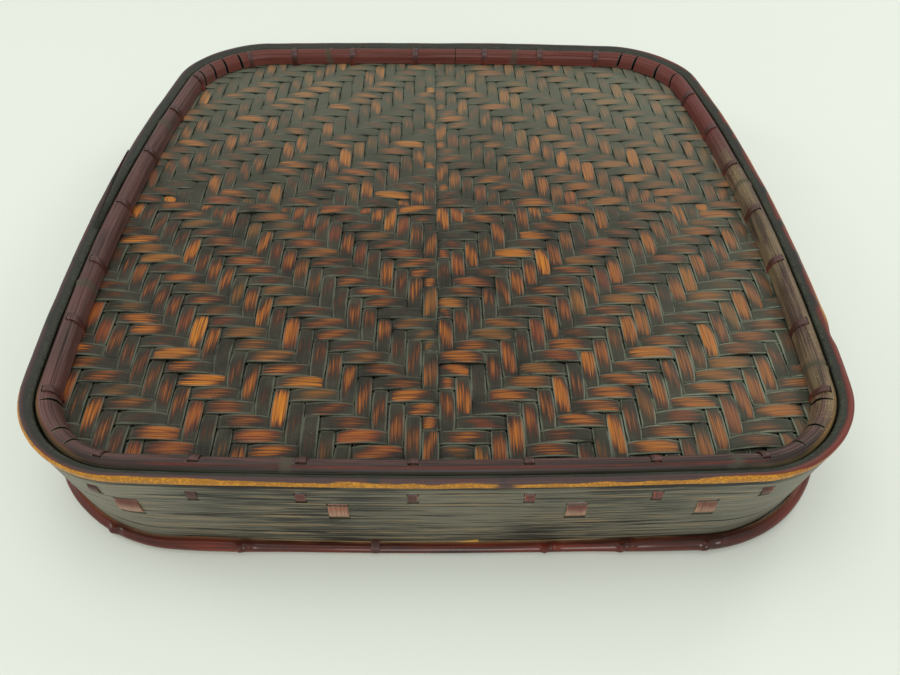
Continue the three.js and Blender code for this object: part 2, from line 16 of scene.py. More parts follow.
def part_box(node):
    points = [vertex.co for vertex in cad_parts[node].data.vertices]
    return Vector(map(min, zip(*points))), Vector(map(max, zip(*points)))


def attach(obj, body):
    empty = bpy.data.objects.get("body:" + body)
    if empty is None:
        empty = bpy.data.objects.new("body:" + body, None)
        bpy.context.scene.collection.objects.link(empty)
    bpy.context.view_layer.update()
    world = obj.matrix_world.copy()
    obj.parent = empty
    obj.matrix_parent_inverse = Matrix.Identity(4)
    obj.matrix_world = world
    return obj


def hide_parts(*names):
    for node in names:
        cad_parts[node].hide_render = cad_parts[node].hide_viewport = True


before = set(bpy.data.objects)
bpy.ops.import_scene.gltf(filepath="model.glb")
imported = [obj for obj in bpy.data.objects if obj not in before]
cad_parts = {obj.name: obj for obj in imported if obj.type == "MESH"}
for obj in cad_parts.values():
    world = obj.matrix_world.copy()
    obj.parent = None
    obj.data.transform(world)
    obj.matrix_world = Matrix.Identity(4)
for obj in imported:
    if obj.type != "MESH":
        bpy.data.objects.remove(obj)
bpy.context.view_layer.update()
print("solids in the frame:", len(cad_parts))

# %% [markdown]
# ## The outline that every long piece follows
# All long pieces run once round the basket: band, hoop, rim strip, clamp ring, rod. On the bench they are
# straight strips that get bent. The script works the same way. A piece is first made straight, with a place
# along its run, an inset from the band's face and a height. One function then lays it round the outline.
# Millimetres are the natural unit for strips, so the lengths below are millimetres until they are laid.

# %% Sizes of the basket, in millimetres
MM = 0.001
BASKET_HEIGHT = 53.0
BAND_WIDTH = 386.0
BAND_DEPTH = 399.0
SIDE_BOW = 15.5
END_BOW = 5.5
BASE_CORNER_RADIUS = 50.0
FRONT_CORNER_RADIUS = 45.0
FRONT_MOUTH_RADIUS = 60.0
MOUTH_CORNER_RADIUS = 64.0
MOUTH_INSET = 2.5
STRAIGHT_SHARE = 0.6
SIDES = ("right", "back", "left", "front")
TURN_STEPS = 8000
SEARCH_FROM, SEARCH_TO, SEARCH_STEPS = -0.2, 0.8, 2000
NUDGE = 0.002


# %% Point of the outline at a turn and a height
def corner_radius(corner, fall):
    """Radius of a corner, from the base to the mouth. Corners 0 and 1 are at the back, 2 and 3 in front."""
    front = corner % 4 >= 2
    base = np.where(front, FRONT_CORNER_RADIUS, BASE_CORNER_RADIUS)
    mouth = np.where(front, FRONT_MOUTH_RADIUS, MOUTH_CORNER_RADIUS)
    return base + (mouth - base) * fall


def outline(turn, height):
    """A turn counts the four sides anticlockwise from the right side; its first share is straight."""
    turn = np.asarray(turn, float)
    fall = 1 - np.asarray(height, float) / BASKET_HEIGHT
    side = np.floor(turn) % 4
    radius_here = corner_radius(side, fall)
    radius_before = corner_radius(side - 1, fall)
    half_width = BAND_WIDTH / 2 - SIDE_BOW
    half_depth = BAND_DEPTH / 2 - END_BOW
    sideways = side % 2 == 0
    outward = np.where(sideways, half_width, half_depth) - MOUTH_INSET * fall
    along = np.where(sideways, half_depth, half_width) - MOUTH_INSET * fall
    straight = np.clip(turn % 1 / STRAIGHT_SHARE, 0, 1)
    angle = math.pi / 2 * np.clip((turn % 1 - STRAIGHT_SHARE) / (1 - STRAIGHT_SHARE), 0, 1)
    first, last = radius_before - along, along - radius_here
    run = first + (last - first) * straight + radius_here * np.sin(angle)
    reach = outward - radius_here + radius_here * np.cos(angle)
    heading = side * math.pi / 2
    x = reach * np.cos(heading) - run * np.sin(heading)
    y = reach * np.sin(heading) + run * np.cos(heading)
    widen = 1 + SIDE_BOW / half_width * (1 - (y / half_depth) ** 2)
    deepen = 1 + END_BOW / half_depth * (1 - (x / half_width) ** 2)
    return x * widen, y * deepen


# %% Runs, in millimetres round the basket
TURNS = np.linspace(0, len(SIDES), TURN_STEPS + 1)
TURN_X, TURN_Y = outline(TURNS, BASKET_HEIGHT)
RUNS = np.concatenate([[0], np.cumsum(np.hypot(np.diff(TURN_X), np.diff(TURN_Y)))])
PERIMETER = RUNS[-1]
print("once round the basket:", round(PERIMETER), "mm")


def run_at(side, place, height=BASKET_HEIGHT):
    """Run at which a side passes a place: Y on the right and left sides, X on the back and front."""
    number = SIDES.index(side)
    turns = np.linspace(number + SEARCH_FROM, number + SEARCH_TO, SEARCH_STEPS + 1)
    x, y = outline(turns, height)
    reached = (y, -x, -y, x)[number]
    wanted = place if side in ("right", "front") else -place
    return float(np.interp(np.interp(wanted, reached, turns) % 4, TURNS, RUNS))


# %% Laying points round the basket
def lay(run, inset, height):
    """Places in metres of points given by run, inset from the band's face, and height."""
    turn = np.interp(np.asarray(run) % PERIMETER, RUNS, TURNS)
    x, y = outline(turn, height)
    ahead_x, ahead_y = outline(turn + NUDGE, height)
    behind_x, behind_y = outline(turn - NUDGE, height)
    length = np.hypot(ahead_x - behind_x, ahead_y - behind_y)
    inward_x = -(ahead_y - behind_y) / length
    inward_y = (ahead_x - behind_x) / length
    height = np.broadcast_to(height, x.shape)
    return np.stack([x + inward_x * inset, y + inward_y * inset, height], axis=-1) * MM


# %% [markdown]
# ## Hand work is never even
# A split strip wanders a little up, down and sideways. A sum of a few slow waves with fixed random phases
# gives that wander, and the same numbers each time the script runs.

# %% Slow wander of a hand-bent strip
LONGEST_WAVE, WAVE_COUNT = 210.0, 4
WAVE_SHORTENS, WAVE_WEAKENS = 1.9, 1.6


def wander(run, seed):
    """About -1 to 1 along the run. Each seed gives a wander of its own."""
    random = np.random.default_rng(seed)
    total = 0
    for number in range(WAVE_COUNT):
        turns = np.asarray(run) / (LONGEST_WAVE / WAVE_SHORTENS**number)
        total = total + np.sin(2 * math.pi * turns + random.uniform(0, 7)) / WAVE_WEAKENS**number
    return total / 2


# %% [markdown]
# ## From a flat grid to a rolled strip
# A grid is the simplest mesh with two directions. One direction becomes the run, the other goes round the
# strip's section, and merging its two long edges closes the strip. Each corner keeps its run and its
# distance round the section in the UV map, so that grain and streaks can follow the strip wherever it
# bends.

# %% Helpers for meshes
def finish_mesh(name, bm, material, replaced=()):
    """Turns a bmesh into a piece that rides on the basket and stands for CAD nodes."""
    mesh = bpy.data.meshes.new(name)
    bm.to_mesh(mesh)
    bm.free()
    piece = bpy.data.objects.new(name, mesh)
    bpy.context.scene.collection.objects.link(piece)
    mesh.materials.append(material)
    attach(piece, "root")
    if replaced:
        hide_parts(*replaced)
    print(name, "faces:", len(mesh.polygons))
    return piece


def smooth_with_creases(bm, degrees=38):
    """Smooth shading that breaks at sharp edges."""
    for face in bm.faces:
        face.smooth = True
    for edge in bm.edges:
        edge.smooth = edge.calc_face_angle(0) < math.radians(degrees)


def rounded_section(corners, radius, steps=3):
    """Closed section whose corners are turned in small arcs."""
    points = []
    corners = [np.array(corner, float) for corner in corners]
    for before, here, after in zip(corners[-1:] + corners[:-1], corners, corners[1:] + corners[:1]):
        start = here + (before - here) * min(radius / np.linalg.norm(before - here), 0.45)
        end = here + (after - here) * min(radius / np.linalg.norm(after - here), 0.45)
        for t in np.linspace(0, 1, steps + 1):
            points.append((1 - t) ** 2 * start + 2 * t * (1 - t) * here + t**2 * end)
    return np.array(points)


# %% The rolled strip
def rolled_strip(section, start, length, steps, shape=None):
    """A strip of one section, laid round the basket. shape may bend run, inset and height before that."""
    sides = len(section)
    bm = bmesh.new()
    bmesh.ops.create_grid(bm, x_segments=steps, y_segments=sides, size=0.5)
    grid = np.array([vert.co for vert in bm.verts])
    run = start + (grid[:, 0] + 0.5) * length
    number = np.rint((grid[:, 1] + 0.5) * sides).astype(int)
    inset, height = section[number % sides].T
    if shape:
        run, inset, height = shape(run, inset, height)
    edges = np.linalg.norm(np.diff(section, axis=0, append=section[:1]), axis=1)
    around = np.concatenate([[0], np.cumsum(edges)])
    uv_layer = bm.loops.layers.uv.new("strip")
    inset_layer = bm.verts.layers.float.new("inset")
    for face in bm.faces:
        for loop in face.loops:
            index = loop.vert.index
            loop[uv_layer].uv = (run[index] * MM, around[number[index]] * MM)
    for vert, place, depth in zip(bm.verts, lay(run, inset, height), inset):
        vert.co = place
        vert[inset_layer] = depth * MM
    bmesh.ops.remove_doubles(bm, verts=bm.verts, dist=1e-6)
    bmesh.ops.holes_fill(bm, edges=[edge for edge in bm.edges if edge.is_boundary])
    bmesh.ops.recalc_face_normals(bm, faces=bm.faces)
    smooth_with_creases(bm)
    return bm


def mark(bm, name, value_at):
    """Keeps a value at each point, worked out from its run, its way round the section and its height."""
    uv_layer = bm.loops.layers.uv["strip"]
    layer = bm.verts.layers.float.new(name)
    for vert in bm.verts:
        uv = vert.link_loops[0][uv_layer].uv
        vert[layer] = value_at(uv.x / MM, uv.y / MM, vert.co.z / MM)


# %% [markdown]
# ## Shader sums that read like sums
# Every finish here is a mix of masks: worn, dusty, streaked. Node trees for that grow long, so a small
# class wraps a socket and lets Python's own signs add the Math nodes. Every other node comes from one
# method, which small functions with plain names call.

# %% The socket that can be added and multiplied
def operator(operation, swapped=False):
    """A method that adds one Math node. The wire is its first value or, when swapped, its second."""

    def apply(self, other):
        first, second = (other, self) if swapped else (self, other)
        return self.finish.node("ShaderNodeMath", {"operation": operation}, {0: first, 1: second})

    return apply


class Wire:
    def __init__(self, finish, socket):
        self.finish = finish
        self.socket = socket

    __add__, __radd__ = operator("ADD"), operator("ADD", swapped=True)
    __sub__, __rsub__ = operator("SUBTRACT"), operator("SUBTRACT", swapped=True)
    __mul__, __rmul__ = operator("MULTIPLY"), operator("MULTIPLY", swapped=True)
    __truediv__, __pow__ = operator("DIVIDE"), operator("POWER")


# %% The finish that makes the nodes
def paint(code):
    """Linear colour of a written colour such as 8a5038."""
    parts = [int(code[i : i + 2], 16) / 255 for i in (0, 2, 4)]
    return [part / 12.92 if part < 0.04045 else ((part + 0.055) / 1.055) ** 2.4 for part in parts] + [1]


class Finish:
    def __init__(self, name):
        self.material = bpy.data.materials.new(name)
        self.material.use_nodes = True
        self.tree = self.material.node_tree
        self.surface = self.tree.nodes["Principled BSDF"]

    def node(self, kind, settings, inputs, output=0):
        node = self.tree.nodes.new(kind)
        for name, value in settings.items():
            setattr(node, name, value)
        for name, value in inputs.items():
            self.feed(node.inputs[name], value)
        return Wire(self, node.outputs[output])

    def feed(self, socket, value):
        """Links a wire, or sets a value. Text is a colour's code."""
        if isinstance(value, Wire):
            self.tree.links.new(value.socket, socket)
        else:
            socket.default_value = paint(value) if isinstance(value, str) else value

    def set(self, **inputs):
        """Sets sockets of the surface: underscores stand for the spaces in their names."""
        for name, value in inputs.items():
            self.feed(self.surface.inputs[name.replace("_", " ")], value)
        return self.material

    def attribute(self, name):
        return self.node("ShaderNodeAttribute", {"attribute_name": name}, {}, output="Fac")

    def places(self):
        """Object coordinates, as a vector and as X, Y and Z."""
        coordinates = self.node("ShaderNodeTexCoord", {}, {}, output="Object")
        parts = [self.node("ShaderNodeSeparateXYZ", {}, {0: coordinates}, output=i) for i in range(3)]
        return coordinates, *parts

    def noise(self, vector, scale=1.0, detail=3.0, roughness=0.55):
        inputs = {"Vector": vector, "Scale": scale, "Detail": detail, "Roughness": roughness}
        return self.node("ShaderNodeTexNoise", {}, inputs)

    def streaks(self, along, across, detail, roughness=0.55):
        """Noise on a strip's own map, which gets longer one way by the two scales."""
        strip = self.node("ShaderNodeUVMap", {"uv_map": "strip"}, {})
        stretched = self.node("ShaderNodeMapping", {}, {"Vector": strip, "Scale": (along, across, 1)})
        return self.noise(stretched, detail=detail, roughness=roughness)

    def bump(self, height, distance, strength):
        inputs = {"Height": height, "Distance": distance, "Strength": strength}
        return self.node("ShaderNodeBump", {}, inputs)


# %% What is done to wires
def mix(share, first, second):
    """The first colour where the share is 0, the second where it is 1."""
    inputs = {0: share, 6: first, 7: second}
    return share.finish.node("ShaderNodeMix", {"data_type": "RGBA"}, inputs, output=2)


def step(value, low, high):
    """Smooth step from 0 at low to 1 at high."""
    inputs = {"Value": value, "From Min": low, "From Max": high}
    return value.finish.node("ShaderNodeMapRange", {"interpolation_type": "SMOOTHSTEP"}, inputs)


def largest(first, second):
    return first.finish.node("ShaderNodeMath", {"operation": "MAXIMUM"}, {0: first, 1: second})


def size(value):
    return value.finish.node("ShaderNodeMath", {"operation": "ABSOLUTE"}, {0: value})


def ramp(value, stops):
    """Colours at places from 0 to 1, blended between them."""
    node = value.finish.tree.nodes.new("ShaderNodeValToRGB")
    elements = node.color_ramp.elements
    while len(elements) < len(stops):
        elements.new(0.5)
    for element, (place, colour) in zip(elements, stops):
        element.position = place
        element.color = paint(colour)
    value.finish.feed(node.inputs[0], value)
    return Wire(value.finish, node.outputs[0])


# %% [markdown]
# ## Camera and light
# The camera stands where the photograph was taken: about 17 cm in front of the basket and 25 cm above it,
# looking 45 degrees down through a wide lens. The light is an even, white room with four soft lamps: a
# broad one overhead, one behind on the right, one at the left and one in front. Colours render about as
# they are written.

# %% Camera
CAMERA_PLACE = Vector((-0.5, -370.2, 306.1)) * MM
CAMERA_YAW, CAMERA_PITCH, CAMERA_ROLL = math.radians(1.24), math.radians(45.2), math.radians(0.971)
FOCAL_PIXELS = 760.0
IMAGE_WIDTH = 900.0
SENSOR_WIDTH = 36.0

forward = Vector((
    math.sin(CAMERA_YAW) * math.cos(CAMERA_PITCH),
    math.cos(CAMERA_YAW) * math.cos(CAMERA_PITCH),
    -math.sin(CAMERA_PITCH),
))
level_right = Vector((math.cos(CAMERA_YAW), -math.sin(CAMERA_YAW), 0))
level_up = level_right.cross(forward)
camera_right = math.cos(CAMERA_ROLL) * level_right + math.sin(CAMERA_ROLL) * level_up
camera_up = math.cos(CAMERA_ROLL) * level_up - math.sin(CAMERA_ROLL) * level_right
camera_data = bpy.data.cameras.new("camera")
camera_data.sensor_width = SENSOR_WIDTH
camera_data.lens = SENSOR_WIDTH * FOCAL_PIXELS / IMAGE_WIDTH
camera = bpy.data.objects.new("camera", camera_data)
camera_turn = Matrix((camera_right, camera_up, -forward)).transposed()
camera.matrix_world = Matrix.Translation(CAMERA_PLACE) @ camera_turn.to_4x4()
bpy.context.scene.collection.objects.link(camera)
bpy.context.scene.camera = camera
bpy.context.scene.view_settings.view_transform = "Standard"
print("camera lens:", round(camera_data.lens, 1), "mm")


# %% Lamps, room and floor
# Each lamp has its place, what it points at and its size in metres, and its power in watts.
LAMPS = {
    "lamp above": ((-0.3, 0.2, 1.4), (0, 0, 0), 1.0, 4),
    "lamp behind right": ((1.0, 0.9, 0.9), (0, 0, 0), 0.45, 3.4),
    "lamp at the left": ((-1.3, 0.4, 0.8), (0, 0, 0), 0.45, 2),
    "lamp in front": ((0.1, -1.5, 1.0), (0, -0.1, 0), 0.7, 8.5),
}
ROOM_COLOUR, ROOM_STRENGTH = (0.93, 0.96, 0.93, 1), 0.74

for name, (place, aim, lamp_size, power) in LAMPS.items():
    lamp_data = bpy.data.lights.new(name, "AREA")
    lamp_data.size = lamp_size
    lamp_data.energy = power
    lamp = bpy.data.objects.new(name, lamp_data)
    turn = (Vector(aim) - Vector(place)).to_track_quat("-Z", "Y").to_matrix()
    lamp.matrix_world = Matrix.Translation(place) @ turn.to_4x4()
    bpy.context.scene.collection.objects.link(lamp)
room = bpy.data.worlds.new("room")
room.use_nodes = True
room.node_tree.nodes["Background"].inputs["Color"].default_value = ROOM_COLOUR
room.node_tree.nodes["Background"].inputs["Strength"].default_value = ROOM_STRENGTH
bpy.context.scene.world = room

FLOOR_SIZE = 6.0
floor_bm = bmesh.new()
bmesh.ops.create_grid(floor_bm, x_segments=1, y_segments=1, size=FLOOR_SIZE / 2)
floor_mesh = bpy.data.meshes.new("floor")
floor_bm.to_mesh(floor_mesh)
floor_bm.free()
floor = bpy.data.objects.new("floor", floor_mesh)
bpy.context.scene.collection.objects.link(floor)
floor_finish = Finish("pale floor")
floor_mesh.materials.append(floor_finish.set(Base_Color="e2e6dc", Roughness=0.6))

# %% [markdown]
# ## Where the lashings sit
# Every tie is a node of the solid model, and so are the laces and the mouth ties. Their boxes give their
# runs. The solids are faceted, and a tie there stands on one facet, a little off the place where the
# photograph shows it. So a tie or lace that shows may slide a few millimetres along its run, towards that
# place.

# %% Runs of the ties, laces and mouth ties
SLIDE = 4.0
SEEN_PLACES = {
    "ring_tie_front": [-143.7, -100.3, -56.3, -10.7, 36.6, 89.0, 138.1],
    "ring_tie_left": [147.0, 99.5, 47.0, -7.4, -60.3, -104.8, -152.7],
    "ring_tie_right": [-153.0, -107.0, -58.0, -12.0, 36.0, 79.0, 125.0],
    "hoop_lace_front": [-130.5, -41.7, 57.0, 111.6],
}


def node_run(node):
    """Runs of an upright tie at the top of the basket and at its mouth."""
    low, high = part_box(node)
    middle = [(a + b) / 2 / MM for a, b in zip(low, high)]
    prefix, number = node.rsplit("_", 1)
    side = prefix.rsplit("_", 1)[1]
    place = middle[1] if side in ("right", "left") else middle[0]
    seen = SEEN_PLACES.get(prefix)
    if seen:
        place = float(np.clip(seen[int(number) - 1], place - SLIDE, place + SLIDE))
    return run_at(side, place), run_at(side, place, 0.0)


KINDS = ("ring_tie", "hoop_lace", "mouth_tie")
top_and_mouth = {node: node_run(node) for node in sorted(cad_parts) if node.startswith(KINDS)}
node_runs = {
    kind: {node: runs[0] for node, runs in top_and_mouth.items() if node.startswith(kind)} for kind in KINDS
}
print({kind: len(runs) for kind, runs in node_runs.items()})


# %% How far a point is from a place along the run
def away(run, place):
    """Signed distance along the outline."""
    return (np.asarray(run) - place + PERIMETER / 2) % PERIMETER - PERIMETER / 2


def near(run, places, reach, sharpness=2):
    """1 at any of the places and 0 beyond their reach."""
    return np.max([np.exp(-np.abs(away(run, place) / reach) ** sharpness) for place in places], axis=0)


def upright(node, height):
    """Run of a tie at a height. Runs fan out round the corners, and a tie stands upright there."""
    top, mouth = top_and_mouth[node]
    return top + away(mouth, top) * (1 - height / BASKET_HEIGHT)


# %% [markdown]
# ## Laps
# A strip that closes on itself is shaved thin at both ends, so that the ends share one thickness. In the
# mesh the strip is as much longer than the outline as the lap is, and each end shrinks to one face of the
# strip.

# %% Shaved ends of a strip
LAP_STEP = 0.22
LAP_FEATHER = 0.08


def lapped(run, inset, start, length, lap, outer, inner):
    """Shaves the start of a strip to its outer face and its end to its inner face."""
    from_start = np.clip((run - start) / lap, LAP_FEATHER, 1)
    from_end = np.clip((start + length - run) / lap, LAP_FEATHER, 1)
    step = LAP_STEP * (1 - from_start)
    inset = np.where(from_start < 1, outer - step + (inset - outer) * from_start, inset)
    return np.where(from_end < 1, inner - (inner - inset) * from_end, inset)


def subdivided(section, longest):
    """Adds points to the long edges of a closed section."""
    points = []
    for here, after in zip(section, np.roll(section, -1, axis=0)):
        count = max(1, math.ceil(np.linalg.norm(after - here) / longest))
        points.extend(here + (after - here) * i / count for i in range(count))
    return np.array(points)


# %% [markdown]
# ## The side band
# The band is a thin board of split bamboo, outer skin inwards. Its face shows the long fibres of the inner
# wall, stained nearly black, with thin ochre streaks where fibres have lifted and a few long cracks. Dust
# sits round each stitch. The fibres follow the band, so the noise is stretched along the run of its UV map,
# and the grime round the stitches is an attribute that the mesh code works out from the runs of the ties.
# At the middle of the front the band's foot flares out a little.

# %% Finish of the side band
DUST = "7c8074"
BAND_DARK = "2a2820"
BAND_GREY = "676353"
# Pale grey of the painted sheen at the band's corners.
BAND_CORNER_SHEEN = "868474"
BAND_OCHRE = "93744a"
# Near black of the cracks, also used for the painted shade under the rim strip.
BAND_CRACK_AND_SHADE = "12110d"
CHIP_YELLOW = "c79a45"
SEAM_OCHRE = "a48457"


def band_finish():
    finish = Finish("stained band")
    vector, x, y, z = finish.places()
    grime = finish.attribute("grime")
    fibres = finish.streaks(24, 1300, 4, 0.65)
    streaks = finish.streaks(16, 760, 4, 0.65)
    cracks = finish.streaks(11, 430, 4)
    clouds = finish.noise(vector, scale=16, detail=2)
    # Painted sheen: the band turns paler towards its four corners, where the room's light glances off its
    # face.
    corner = step(size(x * y), 0.012, 0.03)
    pale = step(fibres + (streaks - 0.5) * 0.6 + (clouds - 0.5) * 0.5, 0.4, 0.6)
    base = mix(pale, BAND_DARK, BAND_GREY)
    base = mix(corner * 0.45, base, BAND_CORNER_SHEEN)
    ochre = step(streaks + fibres * 0.35, 0.74, 0.84)
    colour = mix(ochre * 0.7, base, BAND_OCHRE)
    dark = step(cracks + (fibres - 0.5) * 0.5, 0.41, 0.36)
    colour = mix(dark * 0.9, colour, BAND_CRACK_AND_SHADE)
    dusty = step(grime + (clouds - 0.5) * 0.5 + (fibres - 0.5) * 0.6, 0.4, 0.95)
    colour = mix(dusty * 0.45, colour, DUST)
    height = z / MM
    seat = step(height, WORN_SEAM - 0.9, WORN_SEAM) * step(height, WORN_SEAM + 0.9, WORN_SEAM)
    colour = mix(seat * step(streaks, 0.38, 0.5) * 0.75, colour, SEAM_OCHRE)
    # Painted shade: the top of the band, just under the rim strip, is darkened with the near black of the
    # cracks.
    colour = mix(step(height, 45.5, 48.2) * 0.55, colour, BAND_CRACK_AND_SHADE)
    chip_share = (x - CHIP_START * MM) / (CHIP_LENGTH * MM)
    chip_height = (z - CHIP_FOOT * MM) / (CHIP_HEIGHT * MM)
    inside_chip = step(chip_share, 0, 0.05) * step(chip_share, 1.02, 0.98)
    chip = inside_chip * step(chip_height - chip_share * (0.8 + fibres * 0.4), 0.05, -0.05)
    chip = chip * step(y, -0.1, -0.12)
    colour = mix(chip, colour, CHIP_YELLOW)
    relief = finish.bump(fibres * 0.6 + streaks * 0.8 - dark * 1.2, 0.0003, 0.7)
    roughness = 0.5 + dusty * 0.3 + ochre * 0.1
    return finish.set(Base_Color=colour, Roughness=roughness, Normal=relief, Specular_IOR_Level=0.35)


# %% The side band
BAND_THICKNESS = 3.0
BAND_TOP = 48.2
BAND_LAP_PLACE = -61.8
BAND_LAP = 34.0
BAND_STEPS = 560
BAND_BULGE, BAND_RIPPLE = 0.18, 0.06
GRIME_REACH, GRIME_RISE = 3.0, 2.0
WORN_SEAM = 4.6
FOOT_FLARE, FLARE_HEIGHT, FLARE_REACH = 1.1, 22.0, 150.0
CHIP_START, CHIP_LENGTH, CHIP_FOOT, CHIP_HEIGHT = 3.9, 13.3, 3.7, 2.6
STITCH_MIDDLES = {"ring_tie": (40.0, 4.2), "hoop_lace": (29.6, 6.8)}

band_start = run_at("left", BAND_LAP_PLACE)
front_run = run_at("front", 0.0)
band_length = PERIMETER + BAND_LAP
band_corners = [(0, 0), (BAND_THICKNESS, 0), (BAND_THICKNESS, BAND_TOP), (0, BAND_TOP)]
band_section = subdivided(rounded_section(band_corners, 0.5), 2.0)


def band_shape(run, inset, height):
    middle = np.clip(1 - (away(run, front_run) / FLARE_REACH) ** 4, 0, 1)
    inset = inset - FOOT_FLARE * middle * np.clip(1 - height / FLARE_HEIGHT, 0, 1) ** 2
    bulge = np.sin(math.pi * height / BAND_TOP)
    inset = inset + bulge * (BAND_BULGE * wander(run, 11) + BAND_RIPPLE * wander(run * 3 + height * 9, 12))
    inset = lapped(run, inset, band_start, band_length, BAND_LAP, 0, BAND_THICKNESS)
    return run, inset, height


def grime_at(run, around, height):
    """The ground round each stitch, where cloth never wipes the dust away."""
    grime = 0
    for kind, (middle, half_height) in STITCH_MIDDLES.items():
        off = min(abs(away(run, place)) for place in stitch_runs[kind])
        over = max(0, abs(height - middle) - half_height)
        grime = max(grime, math.exp(-((off / GRIME_REACH) ** 2) - (over / GRIME_RISE) ** 2))
    return grime


stitch_runs = {
    kind: [upright(node, middle) for node in node_runs[kind]] for kind, (middle, _) in STITCH_MIDDLES.items()
}
band_bm = rolled_strip(band_section, band_start, band_length, BAND_STEPS, band_shape)
mark(band_bm, "grime", grime_at)
side_band = finish_mesh("band_of_split_bamboo", band_bm, band_finish(), ["side_band"])

# %% [markdown]
# ## The rim strip
# A narrow split strip covers the band's edge. Its top falls inwards, its outer edge is rubbed: purple stain
# at the crest, bare yellow bamboo on the face below it, most of all at the front. The gutter against the
# ring is full of dust. The inset of each point is kept as an attribute, so that the finish knows face,
# crest and gutter apart.

# %% Finish of the rim strip
RIM_PURPLE = "4f3433"
RIM_RED = "6f2a1d"
RIM_CHARCOAL = "2c2c27"
RIM_YELLOW = "c4861f"
RIM_UMBER = "855617"
RIM_BARE = "d0a268"
GUTTER_DUST = "525947"


def rim_finish():
    finish = Finish("rubbed rim strip")
    vector, x, y, z = finish.places()
    inset = finish.attribute("inset") / MM
    fibres = finish.streaks(30, 2200, 3)
    patches = finish.streaks(30, 60, 3)
    clouds = finish.noise(vector, scale=60, detail=3)
    grit = finish.noise(vector, scale=900, detail=2)
    front = step(y, -0.12, -0.17)
    corner = step(x, 0.11, 0.16) * step(y, -0.1, -0.15)
    red = mix(step(patches + corner * 0.45, 0.5, 0.75), RIM_PURPLE, RIM_RED)
    kept_stain = step(clouds + front * 0.1 + corner * 0.3, 0.38, 0.52)
    crest = step(inset + (patches - 0.5) * 2.6, 3.0, 1.5) * kept_stain
    colour = mix(crest * (0.65 + (fibres - 0.5) * 0.6), RIM_CHARCOAL, red)
    gutter = step(inset + (clouds - 0.5) * 2.4, 2.6, 4.6)
    colour = mix(gutter * step(grit + clouds * 0.4, 0.5, 0.9) * 0.55, colour, GUTTER_DUST)
    face_height = (z - RIM_FOOT * MM) / MM
    left_patch = step(x, -0.075, -0.11) * front
    right_patch = step(x, 0.1, 0.115) * step(x, 0.15, 0.14) * front
    uneven = (patches - 0.5) * 3.4 + (clouds - 0.5) * 1.6
    worn_top = 2.0 + front * 1.2 + uneven + (left_patch + right_patch) * 1.3
    face = step(inset + (clouds - 0.5) * 0.5, 1.0, 0.5) * step(face_height - worn_top, 0.3, -0.3)
    spared = step(size(x - 0.0265), 0.0015, 0.006)
    yellow = face * step(fibres + front * 0.35 + clouds * 0.3, 0.5, 0.68) * (1 - front + front * spared)
    spots = step(grit + clouds * 0.5, 0.62, 0.8) * 0.7
    umber = largest(spots, step(fibres, 0.55, 0.75))
    colour = mix(yellow, colour, mix(umber, RIM_YELLOW, RIM_UMBER))
    worn_edge = step(size(face_height - 0.25), 0.3, 0.1) * step(inset, 0.4, 0.2)
    colour = mix(worn_edge * front * step(patches, 0.4, 0.55) * 0.7, colour, RIM_BARE)
    right = step(x, 0.13, 0.17)
    right_crest = step(inset + (patches - 0.5) * 3, 3.2, 1.8) * right * step(clouds, 0.4, 0.5)
    colour = mix(right_crest * 0.7, colour, RIM_RED)
    right_edge = step(inset + (patches - 0.5) * 1.6, 1.1, 0.5) * right * step(y, -0.13, -0.09)
    colour = mix(right_edge * 0.75, colour, RIM_YELLOW)
    relief = finish.bump(fibres * 0.7 + grit * 0.4, 0.00025, 0.6)
    roughness = 0.44 + gutter * 0.35 + (clouds - 0.5) * 0.3 - yellow * 0.05
    return finish.set(Base_Color=colour, Roughness=roughness, Normal=relief, Specular_IOR_Level=0.3)


# %% The rim strip
RIM_WIDTH = 5.2
RIM_FOOT = 48.5
RIM_LAP_PLACE = 45.0
RIM_LAP = 78.0
RIM_JOG_PLACE = -116.0
RIM_STEPS = 620
RIM_WAVER, RIM_RIPPLE, RIM_DIP = 0.22, 0.12, 0.25
JOG_DEPTH, JOG_REACH = 1.1, 5.5
JOG_RETURN, JOG_RETURN_PLACE, JOG_RETURN_REACH = 0.5, 13.0, 8.0

rim_corners = [
    (-0.25, RIM_FOOT), (RIM_WIDTH, RIM_FOOT), (RIM_WIDTH, 50.3), (2.2, 52.85), (0.5, 52.75), (-0.25, 51.6)
]
rim_section = subdivided(rounded_section(rim_corners, 0.7), 0.8)
rim_start = run_at("left", RIM_LAP_PLACE)
rim_length = PERIMETER + RIM_LAP
rim_jog = run_at("right", RIM_JOG_PLACE)


def rim_shape(run, inset, height):
    waver = RIM_WAVER * wander(run, 21) + RIM_RIPPLE * wander(run * 2.7, 22)
    jog = JOG_DEPTH * near(run, [rim_jog], JOG_REACH)
    jog = jog - JOG_RETURN * near(run, [rim_jog + JOG_RETURN_PLACE], JOG_RETURN_REACH)
    inset = inset + waver + jog * (1 - inset / RIM_WIDTH)
    height = height - np.where(height > RIM_FOOT + 1, RIM_DIP + RIM_WAVER * wander(run, 23), 0)
    inset = lapped(run, inset, rim_start, rim_length, RIM_LAP, 0, RIM_WIDTH)
    return run, inset, height


rim_bm = rolled_strip(rim_section, rim_start, rim_length, RIM_STEPS, rim_shape)
finish_mesh("rim_strip_over_band_edge", rim_bm, rim_finish(), ["base_rim_strip"])

# %% [markdown]
# ## The clamp ring
# The ring is a thin bamboo culm, halved and laid on the edge of the woven base. The makers left its fine
# ribs, its nodes stand out as low collars, and V kerfs sawn into the inner side let it turn the corners.
# Each tie comes up through a slit in the crest and pinches the inner half a little. The section is a half
# circle on short legs, whose inner quarter carries the ribs.

